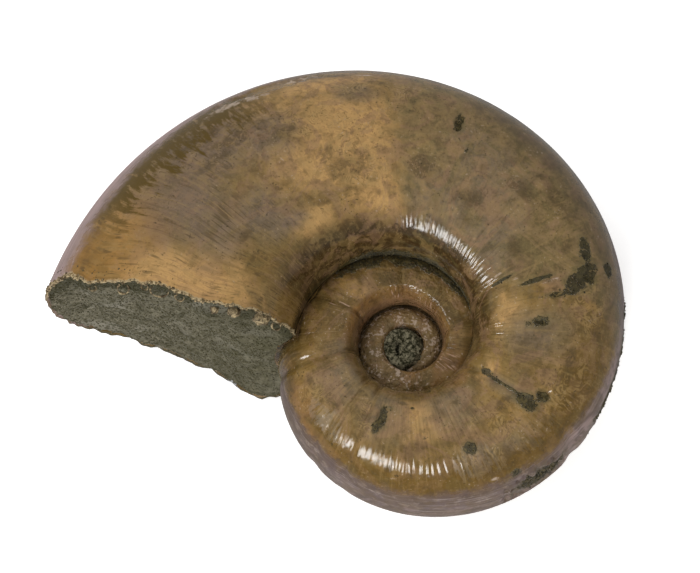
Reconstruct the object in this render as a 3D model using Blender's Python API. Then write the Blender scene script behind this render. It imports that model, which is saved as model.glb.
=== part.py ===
"""Fossil ammonite: a coiled, glossy shell filled with dark green sandstone, its last whorl broken
off short. Shell, inner whorls and filling are cemented into one stone, so it is one closed solid.

The shell is drawn in its own frame first: the coiling axis is Z, the near flank looks along +Z,
and the break is on the -X side. Turns are counted back from the break: 0 there, -1 one whorl
further in. The stone is then tipped onto its far flank, where it lies on small flat spots.
"""

import bmesh
import bpy
import numpy as np
from mathutils import Matrix, Vector, noise

# Driving dimensions, in metres
VENTER_RADIUS = 0.0506
BREAK_RELIEF = 0.0014
BREAK_HOLLOW = 0.0006
BREAK_GRAIN = 0.006
PLUG_RADIUS = 0.0039
PLUG_HEIGHT = 0.0034
AXIS_HEIGHT = 0.01615
AXIS_X = 0.01016
AXIS_Y = -0.00829

# Driving angles, in degrees
BREAK_ANGLE = 171.0
LEAN_X = -2.75
LEAN_Y = 7.7

# Coiling: the outer edge's radius is exp(GROWTH * turn + GROWTH_CHANGE * turn**2)
GROWTH = 1.159
GROWTH_CHANGE = 0.086

# Whorl section, as shares of the radius at the outer edge: a pair is for the outer and the inner whorls
SEAM_RADIUS = (0.297, 0.428)
HALF_WIDTH = (0.393, 0.560)
# How many turns back each pair's change starts, and how many turns it takes
SEAM_CHANGE = (0.5, 0.8)
WIDTH_CHANGE = (0.2, 0.9)
SHOULDER_RADIUS = 0.538
VENTER_ROUNDNESS = 2.6
FLANK_ROUNDNESS = 2.35
WALL_ROUNDNESS = 2.2
MOST_COVER = 0.985
PLUG_FLATNESS = 8

# Where the break lies, in degrees ahead of BREAK_ANGLE, against the section radius
NEAR_BREAK = (
    (0.297, 9.0),
    (0.33, 9.4),
    (0.40, 6.8),
    (0.52, 6.6),
    (0.64, 2.8),
    (0.72, 2.1),
    (0.85, 2.6),
    (0.91, 0.8),
    (1.0, 1.3),
)
FAR_BREAK = (
    (0.297, 17.0),
    (0.36, 16.6),
    (0.43, 12.8),
    (0.49, 8.0),
    (0.56, 4.1),
    (0.71, 0.7),
    (0.83, -0.3),
    (0.92, 0.6),
    (1.0, 1.3),
)
BREAK_REACH = 0.14

# Grooves across the whorl: turn at the seam, sweep towards the outer edge, width (in turns), depth in metres
CONSTRICTIONS = (
    (-0.380, -0.070, 0.012, 0.00025),
    (-0.560, -0.005, 0.012, 0.00040),
    (-0.831, 0.000, 0.013, 0.00045),
    (-0.922, -0.020, 0.012, 0.00040),
    (-1.050, 0.010, 0.012, 0.00035),
    (-1.220, 0.010, 0.014, 0.00035),
    (-1.430, 0.010, 0.016, 0.00030),
)
# Hollows where shell has flaked off: turn, place across, half length in turns, half width, depth in metres
FLAKES = (
    (-0.495, -0.12, 0.050, 0.22, 0.00050),
    (-0.605, 0.05, 0.030, 0.30, 0.00055),
)
# The share of the way from seam to outer edge over which a groove deepens, and of a hollow that is its slope
GROOVE_RUN_IN = 0.25
HOLLOW_SLOPE = 0.4

# Mesh counts
RINGS = 84
WALL_STEPS = 3
WALL_CROWDING = 1.5
FLANK_STEPS = 4
VENTER_STEPS = 12
INNER_RINGS = 231
STRIP = WALL_STEPS + FLANK_STEPS
COLUMNS = 2 * STRIP + VENTER_STEPS

NEAR, FAR = 1.0, -1.0


def ease(x):
    """Smooth step from 0 to 1."""
    x = np.clip(x, 0.0, 1.0)
    return x * x * (3.0 - 2.0 * x)


def growth(turn):
    return np.exp(GROWTH * turn + GROWTH_CHANGE * turn**2)


def seam_radius(turn):
    outer, inner = SEAM_RADIUS
    return outer + (inner - outer) * ease((-turn - SEAM_CHANGE[0]) / SEAM_CHANGE[1])


def half_width(turn):
    outer, inner = HALF_WIDTH
    return outer + (inner - outer) * ease((-turn - WIDTH_CHANGE[0]) / WIDTH_CHANGE[1])


def flank_height(radius, turn):
    """Height of the flank over the median plane at a section radius."""
    out = np.clip((radius - SHOULDER_RADIUS) / (1.0 - SHOULDER_RADIUS), 0.0, 1.0)
    return half_width(turn) * (1.0 - out**VENTER_ROUNDNESS) ** (1.0 / FLANK_ROUNDNESS)


def cover(turn):
    """Share of the flank, from 0 at the shoulder to 1 at the outer edge, where the next whorl laps on."""
    lapped = np.minimum(turn, -1.0)
    radius = seam_radius(lapped + 1.0) * growth(lapped + 1.0) / growth(lapped)
    out = (np.minimum(radius, MOST_COVER) - SHOULDER_RADIUS) / (1.0 - SHOULDER_RADIUS)
    return np.arcsin(out ** (VENTER_ROUNDNESS / 2.0)) * 2.0 / np.pi


def section(turn, place):
    """Section radius and height at a place: -1 at the seam, 0 on the shoulder, 1 at the outer edge."""
    seam = seam_radius(turn)
    inside = growth(turn) / growth(turn - 1.0)
    foot = flank_height(np.minimum(seam * inside, MOST_COVER), turn - 1.0) / inside
    up = np.clip(1.0 + place, 0.0, 1.0) * np.pi / 2.0
    out = np.clip(place, 0.0, 1.0) * np.pi / 2.0
    width = half_width(turn)
    wall_radius = seam + (SHOULDER_RADIUS - seam) * (1.0 - np.cos(up) ** (2.0 / WALL_ROUNDNESS))
    wall_height = foot + (width - foot) * np.sin(up) ** (2.0 / WALL_ROUNDNESS)
    flank_radius = SHOULDER_RADIUS + (1.0 - SHOULDER_RADIUS) * np.sin(out) ** (2.0 / VENTER_ROUNDNESS)
    flank_height_here = width * np.cos(out) ** (2.0 / FLANK_ROUNDNESS)
    on_wall = place < 0.0
    radius = np.where(on_wall, wall_radius, flank_radius)
    return radius, np.where(on_wall, wall_height, flank_height_here)


def shell_point(turn, place, side):
    """Point of the shell's surface, in its own frame."""
    radius, height = section(turn, place)
    angle = np.radians(BREAK_ANGLE) + 2.0 * np.pi * turn
    size = VENTER_RADIUS * growth(turn)
    flat = size * radius
    return np.stack([flat * np.cos(angle), flat * np.sin(angle), size * height * side], -1)


def break_lead(place, side):
    """How far the break lies ahead of turn 0, in turns, at a place of the section."""
    radius, _ = section(np.zeros_like(place), place)
    near_radii, near_leads = np.array(NEAR_BREAK).T
    far_radii, far_leads = np.array(FAR_BREAK).T
    near = np.interp(radius, near_radii, near_leads)
    far = np.interp(radius, far_radii, far_leads)
    return np.where(side > 0.0, near, far) / 360.0


def section_places(turn):
    """Places and sides of a full section's columns, from the near seam over the outer edge to the far."""
    lap = cover(turn)
    wall = -(np.linspace(1.0, 0.0, WALL_STEPS, endpoint=False) ** WALL_CROWDING)
    flank = np.linspace(0.0, lap, FLANK_STEPS, endpoint=False)
    venter = np.linspace(lap, 1.0, VENTER_STEPS // 2 + 1)
    near = np.concatenate([wall, flank, venter])
    places = np.concatenate([near, near[-2::-1]])
    sides = np.where(np.arange(COLUMNS + 1) <= COLUMNS // 2, NEAR, FAR)
    return places, sides


def skewed_turn(turn, places, sides):
    """Turn of each column of a ring, leaned over so that the rings near the break run along it."""
    at_break = 1.0 - ease(-turn / BREAK_REACH)
    under_break = 1.0 - ease(abs(turn + 1.0) / BREAK_REACH)
    seam_leads = break_lead(np.array([-1.0, -1.0]), np.array([NEAR, FAR]))
    across = np.clip((np.arange(COLUMNS + 1) - STRIP) / VENTER_STEPS, 0.0, 1.0)
    under = seam_leads[0] + (seam_leads[1] - seam_leads[0]) * across
    return turn + at_break * break_lead(places, sides) + under_break * under


class Surface:
    """Points and faces collected so far, with each point's turn and place across: 2 at the near seam,
    0 on the outer edge, -2 at the far seam."""

    def __init__(self):
        self.points = []
        self.turns = []
        self.across = []
        self.faces = []

    def add(self, points, turns, across):
        """Adds a row of points and returns their numbers."""
        first = len(self.points)
        self.points.extend(points)
        self.turns.extend(turns)
        self.across.extend(across)
        return list(range(first, len(self.points)))

    def join(self, row, next_row):
        """Faces between two rows of point numbers, leaving out the corners that they share."""
        for column in range(len(row) - 1):
            corners = (row[column], next_row[column], next_row[column + 1], row[column + 1])
            face = list(dict.fromkeys(corners))
            if len(face) > 2:
                self.faces.append(face)


def outer_whorl(surface):
    """The last whorl: full sections from the break back to where it slips under itself."""
    rings = []
    for number in range(RINGS + 1):
        turn = -number / RINGS
        places, sides = section_places(turn)
        turns = skewed_turn(turn, places, sides)
        rings.append(surface.add(shell_point(turns, places, sides), turns, sides * (1.0 - places)))
    # Where the whorl slips under itself, its lap lines are the seams of the break's ring.
    rings[RINGS][STRIP] = rings[0][0]
    rings[RINGS][COLUMNS - STRIP] = rings[0][COLUMNS]
    for ring, next_ring in zip(rings, rings[1:]):
        surface.join(ring, next_ring)
    return rings


def inner_whorls(surface, rings, side):
    """The strip of the inner whorls that one umbilicus shows, and the matrix that plugs its middle."""
    outer = [ring if side > 0.0 else ring[::-1] for ring in rings]
    strips = [ring[: STRIP + 1] for ring in outer]
    for number in range(RINGS + 1, INNER_RINGS + 1):
        turn = -number / RINGS
        places = section_places(turn)[0][:STRIP]
        sides = np.full(STRIP, side)
        lead = break_lead(np.full(STRIP, -1.0), sides)
        turns = turn + (1.0 - ease(abs(turn + 1.0) / BREAK_REACH)) * lead
        strip = surface.add(shell_point(turns, places, sides), turns, sides * (1.0 - places))
        strips.append(strip + [strips[number - RINGS][0]])
    rim = [strip[0] for strip in strips[INNER_RINGS - RINGS :]] + strips[-1][1:STRIP]
    middle = np.mean([surface.points[number] for number in rim], axis=0)
    centre = surface.add([middle], [-INNER_RINGS / RINGS], [side * 2.0])
    pairs = list(zip(strips[RINGS:], strips[RINGS + 1 :]))
    pairs.append((rim + rim[:1], centre * (len(rim) + 1)))
    for row, next_row in pairs:
        # The far side's rows run the other way, so they are swapped to keep its faces looking outwards.
        if side > 0.0:
            surface.join(row, next_row)
        else:
            surface.join(next_row, row)


def break_face(surface, rings):
    """The broken end: rows of points from the near edge to the far one, bulging over the whorl below."""
    edge = rings[0]
    base = rings[RINGS][STRIP : COLUMNS - STRIP + 1]
    points = surface.points
    share = np.linspace(0.0, 1.0, VENTER_STEPS + 1)[:, None]
    straight_base = points[base[0]] + (points[base[-1]] - points[base[0]]) * share
    bulge = np.array([points[number] for number in base]) - straight_base
    rows = [base]
    for column in range(1, COLUMNS // 2):
        near, far = edge[column], edge[COLUMNS - column]
        rise = (np.hypot(*points[near][:2]) / VENTER_RADIUS - SEAM_RADIUS[0]) / (1.0 - SEAM_RADIUS[0])
        row = points[near] + (points[far] - points[near]) * share + bulge * (1.0 - rise)
        inner = [roughened(point, away) for point, away in zip(row[1:-1], np.sin(np.pi * share[1:-1, 0]))]
        rows.append([near] + surface.add(inner, [0.0] * len(inner), [0.0] * len(inner)) + [far])
    rows.append([edge[COLUMNS // 2]] * (VENTER_STEPS + 1))
    for row, next_row in zip(rows, rows[1:]):
        surface.join(row, next_row)


def roughened(point, away_from_rim):
    """A point of the broken face, sunk a little behind the shell's rim and moved by the rock's lumps."""
    radius = np.hypot(point[0], point[1])
    forward = np.array([-point[1], point[0], 0.0]) / radius
    lumps = noise.noise(Vector(point / BREAK_GRAIN))
    return point + forward * np.sqrt(away_from_rim) * (BREAK_RELIEF * lumps - BREAK_HOLLOW)


def normals(points, faces):
    """Outward direction at each point, the sum of its faces' area vectors."""
    total = np.zeros_like(points)
    for face in faces:
        corners = points[face]
        area = np.zeros(3)
        for first, second in zip(corners[1:-1], corners[2:]):
            area += np.cross(first - corners[0], second - corners[0])
        total[face] += area
    return total / np.maximum(np.linalg.norm(total, axis=1), 1e-12)[:, None]


def relief(turns, across):
    """Height of the surface over the plain spiral: constrictions and flaked hollows are below it."""
    height = np.zeros_like(turns)
    reach = 1.0 - np.abs(across) / 2.0
    for start, sweep, width, depth in CONSTRICTIONS:
        middle = start + sweep * reach
        height -= depth * np.exp(-(((turns - middle) / width) ** 2)) * ease(reach / GROOVE_RUN_IN)
    for start, place, length, half, depth in FLAKES:
        inside = ((turns - start) / length) ** 2 + ((across - place) / half) ** 2
        height -= depth * ease((1.0 - inside) / HOLLOW_SLOPE)
    return height


def plugged(points):
    """The middle of each umbilicus filled with matrix, nearly level and steep at its rim."""
    filled = points.copy()
    out = np.minimum(np.hypot(points[:, 0], points[:, 1]) / PLUG_RADIUS, 1.0)
    level = PLUG_HEIGHT * (1.0 - out**PLUG_FLATNESS)
    filled[:, 2] = np.sign(points[:, 2]) * np.maximum(abs(points[:, 2]), level)
    return filled


def tipped(points):
    """The stone laid on its far flank, with small flat spots where it touches."""
    lean_x, lean_y = np.radians([LEAN_X, LEAN_Y])
    turned = np.array(Matrix.Rotation(lean_y, 3, "Y") @ Matrix.Rotation(lean_x, 3, "X"))
    laid = points @ turned.T + np.array([AXIS_X, AXIS_Y, AXIS_HEIGHT])
    laid[:, 2] = np.maximum(laid[:, 2], 0.0)
    return laid


def stone_material():
    material = bpy.data.materials.new("polished_shell_stone")
    material.use_nodes = True
    shader = material.node_tree.nodes["Principled BSDF"]
    shader.inputs["Base Color"].default_value = (0.19, 0.12, 0.05, 1.0)
    shader.inputs["Roughness"].default_value = 0.3
    return material


def ammonite():
    """The whole fossil as one closed solid."""
    surface = Surface()
    rings = outer_whorl(surface)
    inner_whorls(surface, rings, NEAR)
    inner_whorls(surface, rings, FAR)
    break_face(surface, rings)
    points = np.array(surface.points)
    height = relief(np.array(surface.turns), np.array(surface.across))
    points += normals(points, surface.faces) * height[:, None]
    mesh = bpy.data.meshes.new("ammonite")
    mesh.from_pydata(tipped(plugged(points)).tolist(), [], surface.faces)
    solid = bmesh.new()
    solid.from_mesh(mesh)
    loose = [point for point in solid.verts if not point.link_faces]
    bmesh.ops.delete(solid, geom=loose, context="VERTS")
    bmesh.ops.triangulate(solid, faces=solid.faces)
    solid.to_mesh(mesh)
    solid.free()
    mesh.materials.append(stone_material())
    mesh.shade_smooth()
    body = bpy.data.objects.new("ammonite", mesh)
    bpy.context.scene.collection.objects.link(body)
    return body


for old in list(bpy.data.objects):
    bpy.data.objects.remove(old)
ammonite()
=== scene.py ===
# %% [markdown]
# # A fossil ammonite, laid on its flank
#
# The real object is a coiled shell, turned to stone and polished. Its last whorl was broken off
# short, so its end shows the green sandstone that fills it. This lesson builds its looks round a
# fixed, plain model of the same fossil. We work in metres, with Z up, and in two frames: the shell's
# own frame, where the coil turns about Z, and the frame of the stone as it lies.

import bmesh
import bpy
import numpy as np
from mathutils import Matrix, Vector, noise


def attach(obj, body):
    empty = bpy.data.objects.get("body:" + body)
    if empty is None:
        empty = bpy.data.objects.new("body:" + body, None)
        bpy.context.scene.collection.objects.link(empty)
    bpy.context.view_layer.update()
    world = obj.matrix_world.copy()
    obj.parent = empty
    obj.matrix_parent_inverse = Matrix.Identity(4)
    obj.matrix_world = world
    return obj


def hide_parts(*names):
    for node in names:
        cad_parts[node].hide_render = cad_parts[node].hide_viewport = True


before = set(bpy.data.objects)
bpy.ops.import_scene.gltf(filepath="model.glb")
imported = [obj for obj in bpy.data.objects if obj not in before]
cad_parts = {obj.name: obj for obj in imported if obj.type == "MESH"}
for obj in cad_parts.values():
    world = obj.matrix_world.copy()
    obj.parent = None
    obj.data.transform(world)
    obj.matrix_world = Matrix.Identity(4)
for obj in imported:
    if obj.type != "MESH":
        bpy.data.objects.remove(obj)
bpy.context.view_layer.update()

# %% [markdown]
# ## The camera
#
# The photograph looks down on the shell from almost straight above its flank, tilted 15 degrees
# towards the broken end's side. The camera is placed in the shell's own frame, because the shell's
# spiral outline was what its place was read from, and is then turned with the stone. A small lens
# shift puts the coil's axis right of the middle, as in the picture, and keeps the view straight.

# %% Place the camera
LEAN = Matrix.Rotation(np.radians(7.7), 4, "Y") @ Matrix.Rotation(np.radians(-2.75), 4, "X")
AXIS_PLACE = Vector((0.01016, -0.00829, 0.01615))
AS_IT_LIES = Matrix.Translation(AXIS_PLACE) @ LEAN
IMAGE_WIDTH, IMAGE_HEIGHT = 700, 573
AXIS_PIXEL = (407.7, 350.4)
FOCAL_PIXELS = 3276.6
SENSOR_WIDTH = 36.0
VIEW_TILT = np.radians(14.99)
VIEW_DISTANCE = 0.4554


def add_object(name, data):
    """Puts a new object into the scene."""
    made = bpy.data.objects.new(name, data)
    bpy.context.scene.collection.objects.link(made)
    return made


lens = bpy.data.cameras.new("camera")
lens.sensor_width = SENSOR_WIDTH
lens.lens = FOCAL_PIXELS * SENSOR_WIDTH / IMAGE_WIDTH
lens.shift_x = -(AXIS_PIXEL[0] - IMAGE_WIDTH / 2) / IMAGE_WIDTH
lens.shift_y = (AXIS_PIXEL[1] - IMAGE_HEIGHT / 2) / IMAGE_WIDTH
lens.clip_start, lens.clip_end = 0.01, 10.0
camera = add_object("camera", lens)
bpy.context.scene.camera = camera
tilted = Matrix.Rotation(VIEW_TILT, 4, "X")
camera.matrix_world = AS_IT_LIES @ tilted @ Matrix.Translation((0.0, 0.0, VIEW_DISTANCE))
print("lens, mm:", round(lens.lens, 1), "shift:", round(lens.shift_x, 3), round(lens.shift_y, 3))

# %% [markdown]
# ## The rule of the coil
#
# An ammonite grows by adding to its open end. Every whorl has nearly the same section, a little
# larger than the one before, so one rule gives the whole shell: how the size grows with the turn, and
# what the section looks like. Turn 0 is the broken end and turn -1 lies one whorl further in. On the
# section, place -1 is the seam with the whorl below, 0 is the shoulder and 1 is the outer edge.
#
# The rule is written once, with NumPy's functions. It runs on numbers for the flat pattern, and later
# on the sockets of a node tree, where the same line of arithmetic becomes Math nodes.

# %% The rule, in numbers
COIL = {
    "Outer radius": 0.0506,
    "Growth": 1.159,
    "Growth change": 0.086,
    "Outer seam": 0.297,
    "Inner seam": 0.428,
    "Outer width": 0.393,
    "Inner width": 0.560,
    "Shoulder": 0.538,
    "Venter roundness": 2.6,
    "Flank roundness": 2.35,
    "Wall roundness": 2.2,
}
BREAK_ANGLE = np.radians(171.0)
MOST_COVER = 0.985
# the turn from which a proportion changes inwards, and the turns that this takes
SEAM_CHANGE = (-0.5, 0.8)
WIDTH_CHANGE = (-0.2, 0.9)
# relief fades out over a quarter of the wall's height at the seams
SEAM_FADE = 4.0


def clamp(x):
    return np.minimum(np.maximum(x, 0.0), 1.0)


def ease(x):
    """Smooth step from 0 to 1."""
    x = clamp(x)
    return x * x * (3.0 - 2.0 * x)


def growth(coil, turn):
    return np.exp(coil["Growth"] * turn + coil["Growth change"] * turn * turn)


def proportion(coil, name, turn, change):
    """A proportion that has one value on the last whorl and another on the inner ones."""
    outer, inner = coil["Outer " + name], coil["Inner " + name]
    return outer + (inner - outer) * ease((change[0] - turn) / change[1])


def seam_radius(coil, turn):
    """The seam lies further out on the inner whorls, because they overlap less."""
    return proportion(coil, "seam", turn, SEAM_CHANGE)


def half_width(coil, turn):
    return proportion(coil, "width", turn, WIDTH_CHANGE)


def flank_height(coil, radius, turn):
    """Height of the flank over the shell's middle plane, as a share of the whorl's outer radius."""
    out = clamp((radius - coil["Shoulder"]) / (1.0 - coil["Shoulder"]))
    rise = (1.0 - out ** coil["Venter roundness"]) ** (1.0 / coil["Flank roundness"])
    return half_width(coil, turn) * rise


def section(coil, turn, place):
    """Radius and height of the whorl's section at a place on it."""
    seam, width, shoulder = seam_radius(coil, turn), half_width(coil, turn), coil["Shoulder"]
    inside = growth(coil, turn) / growth(coil, turn - 1.0)
    foot = flank_height(coil, np.minimum(seam * inside, MOST_COVER), turn - 1.0) / inside
    up, out = (clamp(share) * (np.pi / 2.0) for share in (1.0 + place, place))
    parts = ("Wall roundness", "Venter roundness", "Flank roundness")
    wall_power, venter_power, flank_power = (2.0 / coil[part] for part in parts)
    wall_radius = seam + (shoulder - seam) * (1.0 - np.maximum(np.cos(up), 0.0) ** wall_power)
    wall_height = foot + (width - foot) * np.sin(up) ** wall_power
    flank_radius = shoulder + (1.0 - shoulder) * np.sin(out) ** venter_power
    flank_rise = width * np.maximum(np.cos(out), 0.0) ** flank_power
    wall = np.less(place, 0.0)
    flank = 1.0 - wall
    return wall * wall_radius + flank * flank_radius, wall * wall_height + flank * flank_rise


print("one whorl in, the shell is", round(float(growth(COIL, -1.0)), 3), "times as large")

# %% [markdown]
# ## The broken end's outline
#
# The last whorl didn't break along one section. On the near flank the break leans one way and on the
# far flank another, and the shell's lip has crumbled in small bites. The two tables give the lean at
# each radius of the section; the bites come from noise along the lip.

# %% How far the break runs ahead of turn 0
# radius of the section, and degrees by which the break runs ahead there
NEAR_BREAK = np.array(
    [(0.297, 9.0), (0.33, 9.4), (0.40, 6.8), (0.52, 6.6), (0.64, 2.8), (0.72, 2.1), (0.85, 2.6), (0.91, 0.8), (1, 1.3)]
)
FAR_BREAK = np.array(
    [(0.297, 17.0), (0.36, 16.6), (0.43, 12.8), (0.49, 8), (0.56, 4.1), (0.71, 0.7), (0.83, -0.3), (0.92, 0.6), (1, 1.3)]
)
LIP_BITE, LIP_BITE_LENGTH = 0.00042, 0.0011
COARSE_SCALE, FINE_SHARE, FINE_SHIFT = 0.45, 0.6, Vector((9.0, 0.0, 0.0))


def break_lead(radius, side):
    """Turns by which the break lies ahead of turn 0, at a radius of the section."""
    near, far = (np.interp(radius, *table.T) for table in (NEAR_BREAK, FAR_BREAK))
    return np.where(side > 0, near, far) / 360.0


def crumbled(radius, height):
    """Extra lead, in turns, of the crumbled lip at points of the section."""
    size = COIL["Outer radius"]
    bites = []
    for r, h in zip(radius, height):
        spot = Vector((r * size, h * size, 0.0)) / LIP_BITE_LENGTH
        bites.append(noise.noise(spot * COARSE_SCALE) + FINE_SHARE * noise.noise(spot + FINE_SHIFT))
    return LIP_BITE * np.array(bites) / (2.0 * np.pi * radius * size)


print("the far edge leads by up to", FAR_BREAK[:, 1].max(), "degrees")

# %% [markdown]
# ## The flat pattern
#
# Before the shell is wound, it is laid out flat like a paper pattern: a grid with one line per
# growth step and one column per place across the whorl. Each point only knows its turn, its place
# and its side, stored as named attributes. The grid is crowded near the break, where the lip needs
# small bites, and its first lines have three times the columns.
#
# The last whorl's pattern runs from the near seam over the outer edge to the far seam. The inner
# whorls show only a strip each, from their seam out to where the next whorl laps over them, so a
# strip's last point is the seam point of the line one turn later.

# %% Rows and columns of the pattern
ROWS = 700
CROWD = 0.5
TURNS_SHOWN = 2.75
FINE_ROWS = 34
FINE = 3
NEAR_WALL, NEAR_FLANK, NEAR_VENTER = 15, 23, 34
FAR_WALL, FAR_FLANK, FAR_VENTER = 9, 14, 22
NEAR_STRIP, FAR_STRIP = NEAR_WALL + NEAR_FLANK, FAR_WALL + FAR_FLANK
COLUMNS = NEAR_STRIP + NEAR_VENTER + FAR_VENTER + FAR_STRIP
BREAK_REACH = 0.14
BITE_REACH = 0.012


def row_turn(row):
    """Turn of a line of the pattern, crowded where a break passes."""
    share = row / ROWS
    return -(share - CROWD * np.sin(2.0 * np.pi * share) / (2.0 * np.pi))


def cover(turn):
    """Place on a whorl where the next one laps over it."""
    lapped = np.minimum(turn, -1.0)
    radius = seam_radius(COIL, lapped + 1.0) * growth(COIL, lapped + 1.0) / growth(COIL, lapped)
    out = (np.minimum(radius, MOST_COVER) - COIL["Shoulder"]) / (1.0 - COIL["Shoulder"])
    return np.arcsin(out ** (COIL["Venter roundness"] / 2.0)) * 2.0 / np.pi


def half_places(turn, wall, flank, venter):
    """Places from a seam to the outer edge."""
    lap = cover(turn)
    return np.concatenate(
        [
            np.linspace(-1.0, 0.0, wall, endpoint=False),
            np.linspace(0.0, lap, flank, endpoint=False),
            np.linspace(lap, 1.0, venter + 1),
        ]
    )


def row_places(turn, fine=1):
    """Places and sides of a full line, from the near seam over the outer edge to the far seam."""
    near = half_places(turn, NEAR_WALL, NEAR_FLANK, NEAR_VENTER)
    far = half_places(turn, FAR_WALL, FAR_FLANK, FAR_VENTER)
    signed = np.concatenate([1.0 - near, far[-2::-1] - 1.0])
    if fine > 1:
        columns = np.arange(len(signed))
        signed = np.interp(np.arange(0, len(signed) - 1 + 0.5 / fine, 1.0 / fine), columns, signed)
    return 1.0 - np.abs(signed), np.where(signed >= 0, 1.0, -1.0)


def leaned(turn, places, sides, fine=1):
    """Turns of a line's points, leaned over so that lines near the break run along it."""
    radius, height = section(COIL, np.zeros_like(places), places)
    lead = break_lead(radius, sides)
    at_break = 1.0 - ease(-turn / BREAK_REACH)
    at_lip = 1.0 - ease(-turn / BITE_REACH)
    under_break = 1.0 - ease(abs(turn + 1.0) / BREAK_REACH)
    seams = break_lead(np.array([COIL["Outer seam"]] * 2), np.array([1.0, -1.0]))
    column = np.arange(len(places)) / fine
    across = np.clip((column - NEAR_STRIP) / (NEAR_VENTER + FAR_VENTER), 0.0, 1.0)
    under = seams[0] + (seams[1] - seams[0]) * across
    turns = turn + at_break * lead + under_break * under
    if at_lip > 0.0:
        fade = np.minimum(1.0, SEAM_FADE * (1.0 + places))
        turns = turns + at_lip * crumbled(radius, height * sides) * fade
    return turns


class Pattern:
    """Points and faces of the flat pattern. Place across is 2 at the near seam, 0 on the outer edge
    and -2 at the far seam."""

    def __init__(self):
        self.turns = []
        self.across = []
        self.behind = []
        self.faces = {"last_whorl": [], "near_coil": [], "far_coil": []}

    def row(self, turn, places, sides, fine=1, leaning=None):
        first = len(self.turns)
        turns = leaned(turn, places, sides, fine) if leaning is None else turn + leaning
        self.turns.extend(turns)
        self.across.extend(sides * (1.0 - places))
        self.behind.extend(np.full(len(places), -turn))
        return list(range(first, len(self.turns)))

    def join(self, part, row, next_row):
        """Faces between two lines. A line with more columns gives its extra points to each face."""
        steps, next_steps = len(row) - 1, len(next_row) - 1
        columns = min(steps, next_steps)
        wide, next_wide = steps // columns, next_steps // columns
        for column in range(columns):
            upper = row[column * wide : (column + 1) * wide + 1]
            lower = next_row[column * next_wide : (column + 1) * next_wide + 1]
            face = list(dict.fromkeys(upper[:1] + lower + upper[:0:-1]))
            if len(face) > 2:
                self.faces[part].append(face)


pattern = Pattern()
whorl_rows = []
for number in range(ROWS + 1):
    fine = FINE if number < FINE_ROWS else 1
    places, sides = row_places(row_turn(number), fine)
    whorl_rows.append(pattern.row(row_turn(number), places, sides, fine))
last_row = whorl_rows[-1]
last_row[NEAR_STRIP] = whorl_rows[0][0]
last_row[COLUMNS - FAR_STRIP] = whorl_rows[0][-1]
for row, next_row in zip(whorl_rows, whorl_rows[1:]):
    pattern.join("last_whorl", row, next_row)


def coil_strips(part, side, strip, wall, flank):
    """The inner whorls' strips on one side, closed in the middle."""
    ordered = [row if side > 0 else row[::-1] for row in whorl_rows]
    strips = [[row[0]] for row in ordered[:-1]] + [ordered[-1][: strip + 1]]
    for number in range(ROWS + 1, int(ROWS * TURNS_SHOWN) + 1):
        turn = row_turn(number)
        places = half_places(turn, wall, flank, 1)[:strip]
        sides = np.full(strip, side)
        lead = break_lead(np.array([COIL["Outer seam"]]), np.array([side]))[0]
        leaning = (1.0 - ease(abs(turn + 1.0) / BREAK_REACH)) * lead
        points = pattern.row(turn, places, sides, leaning=np.full(strip, leaning))
        strips.append(points + [strips[number - ROWS][0]])
    rim = [points[0] for points in strips[len(strips) - ROWS - 1 :]] + strips[-1][1:strip]
    centre = pattern.row(-TURNS_SHOWN, np.array([-1.0]), np.array([side]), leaning=np.zeros(1))
    pairs = list(zip(strips[ROWS:], strips[ROWS + 1 :])) + [(rim + rim[:1], centre * (len(rim) + 1))]
    for row, next_row in pairs:
        pattern.join(part, *((row, next_row) if side > 0 else (next_row, row)))


coil_strips("near_coil", 1.0, NEAR_STRIP, NEAR_WALL, NEAR_FLANK)
coil_strips("far_coil", -1.0, FAR_STRIP, FAR_WALL, FAR_FLANK)
pattern.turns = np.array(pattern.turns)
pattern.across = np.array(pattern.across)
face_counts = {part: len(faces) for part, faces in pattern.faces.items()}
print("pattern:", len(pattern.turns), "points,", face_counts)

# %% [markdown]
# ## Grooves, chips and pits
#
# A real shell isn't a perfect spiral. Now and then it stopped growing and left a groove across the
# whorl, flakes of shell have come off the outer edge, and there are pits. Each one is a line in a
# table, and together they raise or lower the pattern's points a little, along the surface's normal.

# %% Relief of the shell
# turn at the seam, sweep towards the outer edge, width in turns, depth in metres, share on the outer edge
GROOVES = (
    (-0.374, -0.085, 0.006, 0.00012, 1.0), (-0.56, -0.005, 0.007, 0.00035, 1.0),
    (-0.797, 0.002, 0.006, 0.0004, 0.0), (-0.836, 0.0, 0.008, 0.00035, 0.45),
    (-0.926, -0.01, 0.008, 0.00045, 1.0), (-1.05, 0.01, 0.008, 0.00025, 1.0),
    (-1.22, 0.01, 0.014, 0.00035, 1.0), (-1.43, 0.01, 0.016, 0.0003, 1.0),
)
# turn, place across, half length in turns, half width, height in metres
SWELLINGS = (
    (-0.748, 0.78, 0.046, 0.48, 0.0005), (-0.9, 0.8, 0.026, 0.5, 0.0002), (-0.33, 1.3, 0.06, 0.3, 0.0002),
)
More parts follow.
